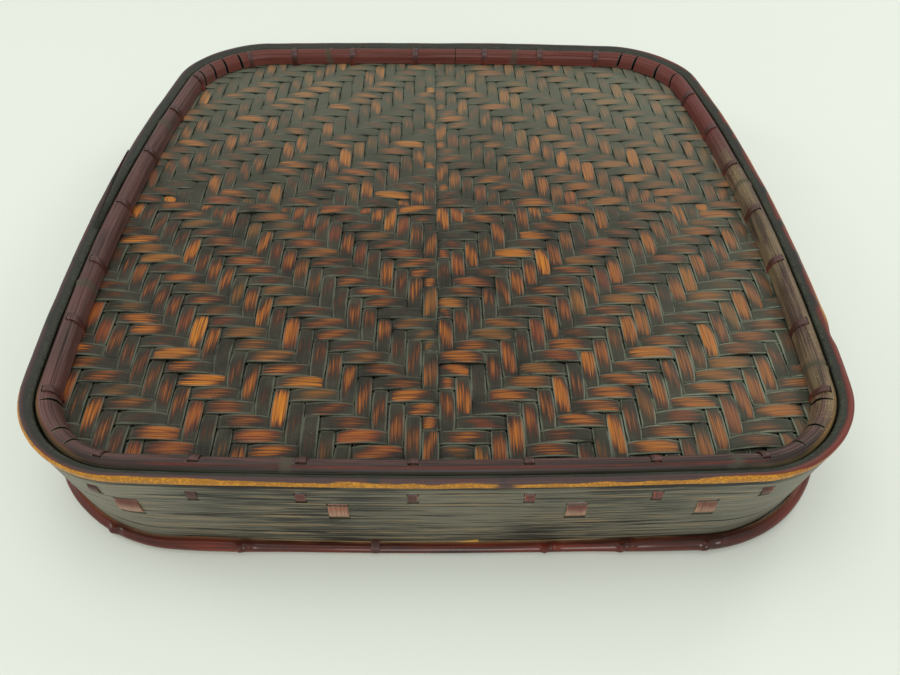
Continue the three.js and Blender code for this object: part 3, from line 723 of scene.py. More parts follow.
# %% Finish of the clamp ring
RING_PURPLE = "5e403b"
RING_DARK = "241d19"
RING_RED = "6c3024"
RING_KHAKI = "7d6b4e"
RING_GOLD = "a98f58"
RING_OLIVE = "4a4839"
RUB_YELLOW = "8f6d38"
RING_ROSE = "6a4440"
RING_RUST = "6a302a"
RING_KERF_SHADE_AND_DUST = "191512"


def ring_finish():
    finish = Finish("lacquered culm")
    vector, x, y, _ = finish.places()
    inset = finish.attribute("inset") / MM
    node = finish.attribute("node_dust")
    fibres = finish.streaks(34, 1900, 3)
    patches = finish.streaks(20, 120, 3)
    clouds = finish.noise(vector, scale=30, detail=3)
    grit = finish.noise(vector, scale=1100, detail=2)
    back = step(y, 0.12, 0.18)
    right = step(x, 0.15, 0.172)
    left = step(x, -0.15, -0.172)
    front = step(y, -0.15, -0.175)
    inner = step(inset, 9.2, 10.4)
    lines = finish.streaks(5, 820, 2)
    grooves = step(lines, 0.47, 0.4)
    purple = mix(step(fibres + clouds * 0.5, 0.5, 0.9), RING_DARK, RING_PURPLE)
    purple = mix(grooves * 0.7, purple, RING_DARK)
    outer_dark = (1 - inner) * front * (1 - left * 0.5)
    colour = mix(outer_dark * 0.75, purple, RING_DARK)
    red_stripe = step(inset, 9.0, 8.4) * step(inset, 7.2, 7.8) * front
    colour = mix(red_stripe * step(patches, 0.35, 0.6) * 0.6, colour, RING_RED)
    colour = mix(back * inner * (0.55 + 0.45 * patches) * 0.9, colour, RING_RED)
    colour = mix(left * step(patches, 0.3, 0.7) * 0.6, colour, RING_ROSE)
    khaki = right * step(y + (clouds - 0.5) * 0.12, 0.075, 0.03) * step(patches, 0.25, 0.6)
    colour = mix(khaki * (0.3 + 0.7 * step(fibres + patches, 0.8, 1.15)) * 0.8, colour, RING_KHAKI)
    colour = mix(right * (1 - khaki) * step(y, 0.02, 0.09) * 0.75, colour, RING_RUST)
    speckle = step(grit + clouds * 0.25, 0.72, 0.82) * khaki
    colour = mix(speckle * 0.8, colour, RING_GOLD)
    front_corner = step(size(x * y), 0.0235, 0.028) * step(y, 0.0, -0.03)
    rubbed = front_corner * step(inset, 8.6, 6.4) * step(patches + fibres * 0.4, 0.5, 0.8)
    colour = mix(rubbed * 0.85, colour, RUB_YELLOW)
    dust = step(inset, 7.2, 5.6) * (0.35 + 0.5 * grit)
    colour = mix(dust, colour, GUTTER_DUST)
    colour = mix(node * (0.5 + 0.5 * grit), colour, RING_OLIVE)
    # Painted shade with some dust: faces cut by the blades carry a low inset, so the walls of the kerfs and
    # slits turn near black.
    cut = step(inset, 4.5, 2.5)
    colour = mix(cut, colour, RING_KERF_SHADE_AND_DUST)
    relief = finish.bump(fibres * 0.5 - grooves * 1.5 + patches * 0.3, 0.00025, 0.6)
    roughness = 0.42 + dust * 0.4 + node * 0.25 + khaki * 0.12
    return finish.set(Base_Color=colour, Roughness=roughness, Normal=relief, Specular_IOR_Level=0.3)


# %% Section and shape of the clamp ring
RING_OUTER, RING_INNER = 5.5, 14.2
RING_FOOT, RING_CREST = 42.7, 51.9
RING_LEG = 3.7
RIB_COUNT, RIB_DEPTH = 6, 0.2
RING_ARC_STEPS = 40
RING_JOINT_PLACE = 12.2
RING_JOINT_GAP = 0.5
RING_NODES = {"left": [-78.0, 83.0], "front": [-64.0, 121.5], "right": [13.6, -137.0], "back": [59.0, -83.0]}
RING_STEPS = 900
RING_LONGEST_EDGE = 2.2

ring_middle = (RING_OUTER + RING_INNER) / 2
ring_half_width = (RING_INNER - RING_OUTER) / 2
ring_arc_height = RING_CREST - RING_FOOT - RING_LEG
arc_angles = np.linspace(0, math.pi, RING_ARC_STEPS + 1)
rib_share = np.clip((math.radians(88) - arc_angles) / math.radians(70), 0, 1)
ribs = 1 - RIB_DEPTH / ring_half_width * (0.5 - 0.5 * np.cos(2 * math.pi * RIB_COUNT * rib_share))
arc = np.stack([
    ring_middle + ring_half_width * ribs * np.cos(arc_angles),
    RING_FOOT + RING_LEG + ring_arc_height * ribs * np.sin(arc_angles) ** 0.9,
], axis=-1)
ring_outline = np.concatenate([arc, [(RING_OUTER, RING_FOOT), (RING_INNER, RING_FOOT)]])
ring_section = subdivided(ring_outline, RING_LONGEST_EDGE)
ring_start = run_at("back", RING_JOINT_PLACE) + RING_JOINT_GAP / 2
ring_length = PERIMETER - RING_JOINT_GAP
ring_node_runs = np.array([run_at(side, place) for side, places in RING_NODES.items() for place in places])
ring_tie_runs = list(node_runs["ring_tie"].values())


# How far the culm swells or draws in, how far past its node that is, and how far it reaches along the run.
COLLAR, LOW_COLLAR, WAIST = (0.5, 0.0, 1.5), (0.25, 3.4, 0.9), (0.35, 1.9, 0.7)
PINCH, PINCH_REACH, PINCH_SHARPNESS = 0.4, 2.7, 6
NODE_DUST_PLACE, NODE_DUST_REACH, NODE_DUST_SHARPNESS = 1.6, 2.4, 4
RING_SWELL, RING_SINK, RING_WAVER, HEIGHT_SHARE, CREST_SPARE = 0.12, 0.1, 0.18, 0.6, 0.25


def ring_shape(run, inset, height):
    collar, low_collar, waist = [
        depth * near(run, ring_node_runs + past, reach) for depth, past, reach in (COLLAR, LOW_COLLAR, WAIST)
    ]
    pinch = PINCH * near(run, ring_tie_runs, PINCH_REACH, PINCH_SHARPNESS)
    inner_share = np.clip((inset - ring_middle) / ring_half_width, 0, 1)
    swell = collar + low_collar - waist - pinch * inner_share + RING_SWELL * wander(run, 31) - RING_SINK
    grow = swell / ring_half_width
    high_share = np.clip((height - RING_FOOT) / (RING_CREST - RING_FOOT), 0, 1)
    inset = inset + (inset - ring_middle) * grow * high_share + RING_WAVER * wander(run, 32)
    height = height + (height - RING_FOOT) * grow * HEIGHT_SHARE
    return run, inset, np.minimum(height, RING_CREST + CREST_SPARE)


# %% Kerfs and slits, sawn with one set of blades
KERF_WIDTH, KERF_DEPTH, KERF_TIP_WIDTH = 1.8, 5.4, 0.3
SLIT_INSET = 9.5
SLIT_WIDTH, SLIT_THICKNESS, SLIT_DEPTH = 4.4, 0.9, 2.6
OVERRUN = 1.5
KERF_SHARES = [(0.16, 0.4, 0.66, 0.83), (0.37, 0.54, 0.69, 0.86), (0.15, 0.46, 0.61), (0.36, 0.58, 0.86)]


def add_blade(bm, run, insets, heights, mouth_width, tip_width):
    """A block that reaches from a tip to a mouth, laid at a run of the outline."""
    blade = bmesh.ops.create_cube(bm, size=1)["verts"]
    grid = np.array([vert.co for vert in blade]) + 0.5
    inset = insets[0] + (insets[1] - insets[0]) * grid[:, 0]
    height = heights[0] + (heights[1] - heights[0]) * grid[:, 2]
    width = tip_width + (mouth_width - tip_width) * grid[:, 0]
    for vert, place in zip(blade, lay(run + (grid[:, 1] - 0.5) * width, inset, height)):
        vert.co = place


def ring_blades():
    bm = bmesh.new()
    heights = (RING_FOOT - OVERRUN, RING_CREST + OVERRUN)
    for corner, shares in enumerate(KERF_SHARES):
        for share in shares:
            turn = corner + STRAIGHT_SHARE + (1 - STRAIGHT_SHARE) * share
            run = float(np.interp(turn, TURNS, RUNS))
            insets = (RING_INNER - KERF_DEPTH, RING_INNER + OVERRUN)
            mouth_width = KERF_WIDTH * (KERF_DEPTH + OVERRUN) / KERF_DEPTH
            add_blade(bm, run, insets, heights, mouth_width, KERF_TIP_WIDTH)
    for run in ring_tie_runs:
        insets = (SLIT_INSET - SLIT_THICKNESS / 2, SLIT_INSET + SLIT_THICKNESS / 2)
        add_blade(bm, run, insets, (RING_CREST - SLIT_DEPTH, heights[1]), SLIT_WIDTH, SLIT_WIDTH)
    bmesh.ops.recalc_face_normals(bm, faces=bm.faces)
    return bm


# %% The clamp ring
def carve(piece, blades):
    """Cuts the blades out of the piece and keeps the result as its mesh."""
    blade_mesh = bpy.data.meshes.new("blades")
    blades.to_mesh(blade_mesh)
    blades.free()
    blade_object = bpy.data.objects.new("blades", blade_mesh)
    bpy.context.scene.collection.objects.link(blade_object)
    cut = piece.modifiers.new("cut", "BOOLEAN")
    cut.operation = "DIFFERENCE"
    cut.solver = "EXACT"
    cut.use_self = True
    cut.object = blade_object
    carved = bpy.data.meshes.new_from_object(piece.evaluated_get(bpy.context.evaluated_depsgraph_get()))
    piece.modifiers.clear()
    piece.data = carved
    bpy.data.objects.remove(blade_object)
    print(piece.name, "faces after the cuts:", len(carved.polygons))


def ring_node_dust(run, around, height):
    """The culm's nodes keep their dull skin."""
    return near(run, ring_node_runs + NODE_DUST_PLACE, NODE_DUST_REACH, NODE_DUST_SHARPNESS)


ring_bm = rolled_strip(ring_section, ring_start, ring_length, RING_STEPS, ring_shape)
mark(ring_bm, "node_dust", ring_node_dust)
clamp_ring = finish_mesh("clamp_ring_of_half_culm", ring_bm, ring_finish(), ["base_clamp_ring"])
carve(clamp_ring, ring_blades())

# %% [markdown]
# ## The hoop and the strip that stay out of sight
# Inside the band one hoop carries the edge of the woven base, and a thinner strip backs the mouth. Nobody
# rubbed or polished these, so they keep the plain smoky stain, with the saw's and the knife's long marks.

# %% Finish of the hidden strips
def hidden_finish():
    finish = Finish("smoked inner strips")
    fibres = finish.streaks(24, 2000, 3)
    patches = finish.streaks(9, 200, 3)
    colour = mix(step(fibres * 0.6 + patches * 0.6, 0.4, 0.8), "3f2c1f", "6b4a31")
    relief = finish.bump(fibres, 0.0002, 0.5)
    return finish.set(Base_Color=colour, Roughness=0.6 + (patches - 0.5) * 0.2, Normal=relief)


# %% The inner hoop and the mouth strip
HIDDEN_ROUNDING, HIDDEN_LONGEST_EDGE, HIDDEN_STEPS = 0.6, 4.0, 240
HIDDEN_WAVER = 0.15
hidden_material = hidden_finish()


def hidden_strip(name, node, insets, heights, lap_side, lap_place, lap, seed):
    (outer, inner), (foot, top) = insets, heights
    corners = [(outer, foot), (inner, foot), (inner, top), (outer, top)]
    section = subdivided(rounded_section(corners, HIDDEN_ROUNDING), HIDDEN_LONGEST_EDGE)
    start = run_at(lap_side, lap_place)
    length = PERIMETER + lap

    def shape(run, inset, height):
        inset = lapped(run, inset, start, length, lap, outer + LAP_STEP, inner)
        return run, inset, height + HIDDEN_WAVER * wander(run, seed)

    strip_bm = rolled_strip(section, start, length, HIDDEN_STEPS, shape)
    finish_mesh(name, strip_bm, hidden_material, [node])


hidden_strip("hoop_inside_band", "inner_hoop", (3.3, 7.3), (25.9, 38.9), "back", 77.0, 40.0, 41)
hidden_strip("strip_inside_mouth", "mouth_strip", (3.3, 6.1), (1.4, 5.9), "right", 80.0, 24.0, 42)

# %% [markdown]
# ## The mouth rod
# A thin culm runs round the mouth like a bead, with its flat back against the band. It is the glossiest
# piece: whole skin under lacquer. Its nodes show as pairs of small knobs, it is thicker near both front
# corners, and at the right one it has sprung away a little. A round section with a flat back is rolled
# round the outline, and one function adds the nodes, the swellings, the spring and a slow waver.

# %% Finish of the mouth rod
ROD_RED = "68230f"
ROD_DARK = "2c120a"
ROD_BROWN = "7b3f24"
ROD_DUST = "94795a"
ROD_BARE = "a5885f"


def rod_finish():
    finish = Finish("glossy thin culm")
    vector, _, _, z = finish.places()
    node = finish.attribute("node_dust")
    fibres = finish.streaks(30, 1500, 2)
    patches = finish.streaks(16, 160, 3)
    grit = finish.noise(vector, scale=700, detail=2)
    colour = mix(step(patches * 0.8 + fibres * 0.4, 0.42, 0.78), ROD_DARK, ROD_RED)
    colour = mix(step(patches + fibres * 0.2, 0.68, 0.85) * 0.5, colour, ROD_BROWN)
    dust = finish.attribute("seam") * (0.35 + 0.65 * grit) * step(patches, 0.3, 0.5)
    colour = mix(dust * 0.8, colour, ROD_DUST)
    colour = mix(node * 0.55, colour, ROD_DARK)
    worn_low = step(z / MM, 1.7, 0.8) * step(grit * 0.5 + patches, 0.55, 0.8)
    colour = mix(worn_low * 0.7, colour, ROD_BARE)
    relief = finish.bump(fibres * 0.5 + grit * 0.15, 0.00015, 0.5)
    finish.set(Coat_Roughness=0.14, Specular_IOR_Level=0.15)
    roughness, coat = 0.38 + dust * 0.4, 0.5 - dust * 0.3
    return finish.set(Base_Color=colour, Roughness=roughness, Coat_Weight=coat, Normal=relief)


# %% The mouth rod
ROD_THICKNESS, ROD_REACH = 4.2, 4.2
ROD_BACK_ANGLE = math.radians(108)
ROD_SIDES = 22
ROD_SPRING, SPRING_REACH = 0.9, 46.0
ROD_NODES = {"front": [-143.4, -86.9, 46.4, 79.6, 116.4], "right": [80.0], "back": [-87.0], "left": [-80.0]}
ROD_BULK = [(-102.0, 0.85, 28.0), (96.0, 0.95, 26.0), (138.0, 1.05, 26.0)]
ROD_JOINT_PLACE = 85.0
ROD_JOINT_GAP = 0.4
ROD_STEPS = 1600
ROD_SEEN_HEIGHT = 3.4
ROD_FOOT, ROD_LEAST_HEIGHT, ROD_GAP = 0.25, 0.15, 0.1
ROD_FLARE_SHARE = 0.6
NODE_BULK, NODE_BULK_REACH = 0.06, 7.0
# Each knob's place past the node, its angle round the rod and its rise.
KNOBS = [(0.0, 0.45, 1.3), (4.8, 1.1, 1.1)]
KNOB_REACH, KNOB_TURN = 1.4, 0.6
KNOB_DUST_PLACE, KNOB_DUST_REACH = 2.2, 1.8
SPRING_PLACE = 150.0

rod_angles = np.linspace(-ROD_BACK_ANGLE, ROD_BACK_ANGLE, ROD_SIDES)
rod_outward = (np.cos(rod_angles) - math.cos(ROD_BACK_ANGLE)) / (1 - math.cos(ROD_BACK_ANGLE))
rod_section = np.stack([-ROD_REACH * rod_outward, ROD_THICKNESS / 2 * np.sin(rod_angles)], -1)
rod_node_runs = np.array([
    run_at(side, place, ROD_SEEN_HEIGHT) for side, places in ROD_NODES.items() for place in places
])
rod_bulk_runs = [run_at("front", place, ROD_SEEN_HEIGHT) for place, _, _ in ROD_BULK]
rod_start = run_at("back", ROD_JOINT_PLACE)
spring_run = run_at("front", SPRING_PLACE, ROD_SEEN_HEIGHT)


def rod_shape(run, inset, height):
    outward = -inset / ROD_REACH * (1 - math.cos(ROD_BACK_ANGLE)) + math.cos(ROD_BACK_ANGLE)
    around = np.arctan2(height / (ROD_THICKNESS / 2), outward)
    bulk = 0.04 * wander(run, 51) + NODE_BULK * near(run, rod_node_runs, NODE_BULK_REACH)
    for place, (_, swell, reach) in zip(rod_bulk_runs, ROD_BULK):
        bulk = bulk + swell / 2 * near(run, [place], reach)
    knobs = 0
    for place in rod_node_runs:
        for past, angle, rise in KNOBS:
            turned = np.abs(np.angle(np.exp(1j * (around - angle))))
            off = (away(run, place + past) / KNOB_REACH) ** 2 + (turned / KNOB_TURN) ** 2
            knobs = knobs + rise * np.exp(-off)
    spring = ROD_SPRING * near(run, [spring_run], SPRING_REACH)
    flare = FOOT_FLARE * ROD_FLARE_SHARE * np.clip(1 - (away(run, front_run) / FLARE_REACH) ** 4, 0, 1)
    middle_height = ROD_THICKNESS / 2 * (1 + bulk) + ROD_FOOT
    height = middle_height + height * (1 + bulk) + knobs * np.sin(around) + 0.1 * wander(run, 53)
    inset = inset * (1 + bulk * 0.6) - knobs * np.cos(around) - spring - flare - ROD_GAP
    return run, inset, np.maximum(height, ROD_LEAST_HEIGHT)


def rod_node_dust(run, around, height):
    return near(run, rod_node_runs + KNOB_DUST_PLACE, KNOB_DUST_REACH)


def rod_seam(run, around, height):
    """The upper line where the rod meets the band, at the end of the curved part of its section."""
    return math.exp(-((around - rod_seam_place) ** 2) / 0.5)


rod_seam_place = float(np.linalg.norm(np.diff(rod_section, axis=0), axis=1).sum())
rod_bm = rolled_strip(rod_section, rod_start, PERIMETER - ROD_JOINT_GAP, ROD_STEPS, rod_shape)
mark(rod_bm, "node_dust", rod_node_dust)
mark(rod_bm, "seam", rod_seam)
finish_mesh("rod_round_the_mouth", rod_bm, rod_finish(), ["mouth_rod"])

# %% [markdown]
# ## Ties and laces
# The lashings are flat cane strips. Each follows one closed route through band, ring and hoop, of which
# short bars and stitches show. The route is a polygon in the plane of inset and height. Its corners are cut
# twice, which bends the strip as cane bends, and a grid as wide as the strip is laid along it and made
# solid.

# %% Routes of the lashings
ROUTES = {
    "ring_tie": [
        (-0.6, 36.9), (-0.6, 43.3), (3.6, 43.3), (SLIT_INSET, 50.9), (9.8, 52.25),
        (11.3, 52.2), (13.2, 50.9), (14.6, 48.2), (14.6, 38.7), (7.9, 36.9),
    ],
    "hoop_lace": [(-0.65, 23.8), (-0.65, 35.4), (8.0, 35.4), (8.0, 23.8)],
    "mouth_tie": [
        (-0.65, 6.8), (6.7, 6.8), (6.7, 0.55), (-2.75, 0.55),
        (-4.8, 1.4), (-5.6, 3.4), (-4.8, 5.4), (-2.75, 6.3),
    ],
}
STRIP_SIZES = {"ring_tie": (4.1, 0.8), "hoop_lace": (8.9, 1.0), "mouth_tie": (4.2, 0.8)}
CORNER_CUTS = 2
CORNER_CUT_SHARE = 0.22
LASHING_STEPS_ACROSS = 6
LEAN_SPREAD, SLIDE_SPREAD, DRIFT_SPREAD = 0.025, 0.05, 0.09
# A strip is a little crowned where it shows, on the band's face and, four times as much, on the ring's
# crest.
CROWN, CREST_CROWN_TIMES, CREST_FROM = 0.12, 4.0, 49.5


def cut_corners(route):
    """Cuts each corner of a closed route at a share of its edges."""
    after = np.roll(route, -1, axis=0)
    first = route + (after - route) * CORNER_CUT_SHARE
    last = after - (after - route) * CORNER_CUT_SHARE
    return np.stack([first, last], axis=1).reshape(-1, 2)


# %% Finish of the lashings
STRAP_DARK = "2a1713"
STRAP_BROWN = "5b332b"


def lashing_finish(name, dark, red, frayed, worn_from):
    finish = Finish(name)
    vector, _, _, z = finish.places()
    drift = finish.attribute("drift")
    across = size(finish.attribute("across"))
    fibres = finish.streaks(60, 1900, 3)
    clouds = finish.noise(vector, scale=140, detail=2)
    colour = mix(step(fibres * 0.8 + clouds * 0.4 + drift, 0.45, 0.85), dark, red)
    edge = step(across, 0.8, 1.0) * step(fibres + clouds * 0.3, 0.5, 0.8)
    colour = mix(edge * 0.4 + step(fibres + drift, 0.72, 0.9) * 0.45, colour, frayed)
    low_end = step(z / MM + (fibres - 0.5) * 4, *worn_from)
    colour = mix(low_end * 0.7, colour, frayed)
    grain = step(finish.streaks(40, 1300, 2), 0.5, 0.42)
    colour = mix(grain * 0.5, colour, dark)
    on_ring = step(z / MM, 45, 46.5)
    colour = mix(on_ring * 0.9, colour, mix(step(fibres, 0.35, 0.7), STRAP_DARK, STRAP_BROWN))
    relief = finish.bump(fibres, 0.0002, 0.7)
    return finish.set(Base_Color=colour, Roughness=0.42 + (clouds - 0.5) * 0.2, Normal=relief)


# %% The lashings
lashing_random = np.random.default_rng(5)


def lashing(kind, node, material):
    route = np.array(ROUTES[kind], float)
    for _ in range(CORNER_CUTS):
        route = cut_corners(route)
    width, thickness = STRIP_SIZES[kind]
    lean = lashing_random.normal(0, LEAN_SPREAD)
    slide = lashing_random.normal(0, SLIDE_SPREAD, 3)[0]
    drift = lashing_random.normal(0, DRIFT_SPREAD)
    bm = bmesh.new()
    bmesh.ops.create_grid(bm, x_segments=len(route), y_segments=LASHING_STEPS_ACROSS, size=0.5)
    grid = np.array([vert.co for vert in bm.verts])
    number = np.rint((grid[:, 0] + 0.5) * len(route)).astype(int) % len(route)
    inset, height = route[number].T
    lengths = np.linalg.norm(route - np.roll(route, 1, axis=0), axis=1)
    along = np.concatenate([np.cumsum(lengths), [0]])
    middle = route.mean(axis=0)
    across = grid[:, 1] * 2
    offset = across * width / 2 + (height - middle[1]) * lean
    crown = CROWN * (1 - across**2)
    run = upright(node, height) + offset + slide
    crowned_inset = inset - crown * (inset < 0)
    crowned_height = height + CREST_CROWN_TIMES * crown * (height > CREST_FROM)
    places = lay(run, crowned_inset, crowned_height)
    uv_layer = bm.loops.layers.uv.new("strip")
    across_layer = bm.verts.layers.float.new("across")
    drift_layer = bm.verts.layers.float.new("drift")
    for face in bm.faces:
        for loop in face.loops:
            i = loop.vert.index
            loop[uv_layer].uv = (along[number[i]] * MM + drift, offset[i] * MM)
    for i, vert in enumerate(bm.verts):
        vert.co = places[i]
        vert[across_layer] = across[i]
        vert[drift_layer] = drift
    bmesh.ops.remove_doubles(bm, verts=bm.verts, dist=1e-6)
    bmesh.ops.recalc_face_normals(bm, faces=bm.faces)
    bmesh.ops.solidify(bm, geom=bm.faces, thickness=thickness * MM)
    bmesh.ops.recalc_face_normals(bm, faces=bm.faces)
    smooth_with_creases(bm, 45)
    finish_mesh(node + "_strip", bm, material, [node])


# The slot, the finish's name, its dark, red and frayed colours, and the heights between which it turns
# frayed.
LOOKS = {
    "ring_tie": ("tie", "dark cane ties", "3c1810", "7c3423", "ac8066", (38.6, 37.2)),
    "hoop_lace": ("lace", "pinkish cane laces", "5a2a1c", "8f5c42", "b08b70", (33.0, 27.0)),
    "mouth_tie": ("tie", "red-brown mouth ties", "3a160d", "73301f", "a87c62", (-2.0, -4.0)),
}
for kind, (slot, *look) in LOOKS.items():
    material = lashing_finish(*look)
    for node in node_runs[kind]:
        lashing(kind, node, material)

# %% Slots in the band, where the strips go in and out
SLOT_GAP, SLOT_REACH, SLOT_DEPTH_SHARE = 0.45, 1.2, 0.7


def slot_blades():
    """Each strip enters the band through a slot at the top of its stitch and leaves by one at its foot."""
    bm = bmesh.new()
    insets = (-OVERRUN, BAND_THICKNESS * SLOT_DEPTH_SHARE)
    for kind in ("ring_tie", "hoop_lace"):
        (_, foot), (_, top) = ROUTES[kind][:2]
        width = STRIP_SIZES[kind][0] + 2 * SLOT_GAP
        for node in node_runs[kind]:
            for heights in ((foot - SLOT_GAP, foot + SLOT_REACH), (top - SLOT_REACH, top + SLOT_GAP)):
                add_blade(bm, upright(node, sum(heights) / 2), insets, heights, width, width)
    bmesh.ops.recalc_face_normals(bm, faces=bm.faces)
    return bm


carve(side_band, slot_blades())

# %% [markdown]
# ## The weave
# The base is a three over, three under twill. The pattern is mirrored about a middle row and a middle
# column, and each quarter trades over for under with its neighbours, so the diagonals meet in nested
# diamonds. The strips that run front to back are the columns, the others the rows. For each crossing one
# rule says which strip is on top. Every strip is a real ribbon that climbs over and dives under the others.

# %% The rule of the twill
TWILL_FLOAT = 3
ROW_PITCH = 7.75
COLUMN_PITCH = 7.40
WEAVE_FAN = 0.047
FAN_REACH = 190.0
WEAVE_CENTRE = (-1.8, 6.3)
WEAVE_TURN = math.radians(0.5)


def row_on_top(column, row):
    """Columns count from 0 to the right of the middle and from -1 to its left; rows the same, to the back."""
    from_middle = (column if column >= 0 else -column - 1) + (row if row >= 0 else -row - 1)
    on_top = from_middle % (2 * TWILL_FLOAT) < TWILL_FLOAT
    return (on_top != (row < 0)) != (column < 0)


for row in range(5, -7, -1):
    print("".join("-" if row_on_top(column, row) else "|" for column in range(-9, 9)))

# %% Where the weave ends and how it sags
MAT_TOP = 42.4
MAT_SAG = 3.6
MAT_EDGE_INSET = 4.2
edge_places = lay(RUNS[::8], MAT_EDGE_INSET, MAT_TOP) / MM


def half_length(place, across_axis):
    """Both ends, in the weave's frame, of the strip at a place: rows run along X and columns along Y."""
    run_axis = 1 - across_axis
    offset = place + WEAVE_CENTRE[across_axis]
    ends = []
    for sign in (-1, 1):
        half = edge_places[edge_places[:, run_axis] * sign > 0]
        half = half[np.argsort(half[:, across_axis])]
        edge = np.interp(offset, half[:, across_axis], half[:, run_axis])
        ends.append(float(edge) - WEAVE_CENTRE[run_axis])
    return ends


def mat_surface(x, y):
    """Height of the crowns of the weave at a place of the basket."""
    across = 1 - (x / (BAND_WIDTH / 2 - RING_INNER)) ** 2
    deep = 1 - (y / (BAND_DEPTH / 2 - RING_INNER)) ** 2
    return MAT_TOP - MAT_SAG * np.maximum(across, 0) * np.maximum(deep, 0)


# %% One ribbon of the weave
STRIP_THICKNESS = 0.75
CROSSING_RISE = 0.55
FLOAT_CROWN = 0.72
DIVE_LENGTH = 3.1
CELL_STEPS = 4
ACROSS_STEPS = 6
STRIP_SHARE = 0.94
UNDER_OFFSET = 1.4
UNDER_CROWN, LONGEST_CROWN = 0.2, 1.1
weave_random = np.random.default_rng(7)


def fanned(pitch, place):
    """Pitch of the strips at a place along them: they spread most where they cross the middle."""
    return pitch * (1 + WEAVE_FAN * (1 - (place / FAN_REACH) ** 2))


def float_ends(on_top, first_cell, pitch):
    """Where each float and each dive of a ribbon starts and ends, and whether it is a float."""
    changes = [0] + [i for i in range(1, len(on_top)) if on_top[i] != on_top[i - 1]] + [len(on_top)]
    starts = (np.array(changes[:-1]) + first_cell) * pitch
    ends = (np.array(changes[1:]) + first_cell) * pitch
    return starts, ends, np.array([on_top[i] for i in changes[:-1]])


def ribbon_profile(ends_of_floats, places, pitch):
    """Rise of a ribbon at places along it, with the share along each float, its number and what is on top."""
    starts, ends, floating = ends_of_floats
    number = np.clip(np.searchsorted(starts, places, side="right") - 1, 0, len(starts) - 1)
    length = ends[number] - starts[number]
    share = np.clip((places - starts[number]) / length, 0, 1)
    nearest = np.minimum(places - starts[number], ends[number] - places)
    climb = CROSSING_RISE * np.sin(math.pi / 2 * np.clip(nearest / DIVE_LENGTH, 0, 1))
    crown = np.sin(math.pi * share) * np.minimum(length / (TWILL_FLOAT * pitch), LONGEST_CROWN)
    rise = np.where(floating[number], climb + FLOAT_CROWN * crown, -climb - UNDER_CROWN * crown)
    return rise, share * 2 - 1, number, floating[number]


# %% The worn spot of each float
MEAN_WEAR, WEAR_SPREAD, LEAST_WEAR = 0.5, 0.2, 0.05
MEAN_TILT, SPOT_SPREAD = 0.28, 0.16


def worn_spots(share, across, number, floating, slant, strip_wear):
    """Distance from the middle of a float's worn spot, and its wear. The spots lean as the twill does."""
    floats = number.max() + 1
    wear = np.clip(weave_random.normal(MEAN_WEAR, WEAR_SPREAD, floats) + strip_wear, LEAST_WEAR, 1)
    drift = weave_random.normal(0, SPOT_SPREAD, floats)
    tilt = weave_random.normal(MEAN_TILT, SPOT_SPREAD, floats)
    off = np.abs(share - drift[number] - across * tilt[number] * slant)
    off = np.maximum(off, 1.1 * np.abs(share) ** 5)
    return np.where(floating, off, UNDER_OFFSET), np.where(floating, wear[number], 0)


# %% Ribbons as one mesh
FAN_MIDDLE = 80.0
SWAY_SPREAD, LIFT_SPREAD, WIDTH_SPREAD, STRIP_WEAR_SPREAD = 0.2, 0.07, 0.015, 0.08
BELLY, SECTION_CROWN, EDGE_DROP, CROWN_SPARE = 0.16, 0.1, 0.2, 0.1
MAP_STEP = 11.0
WEAVE_ATTRIBUTES = ("off", "wear", "share", "across", "hue")


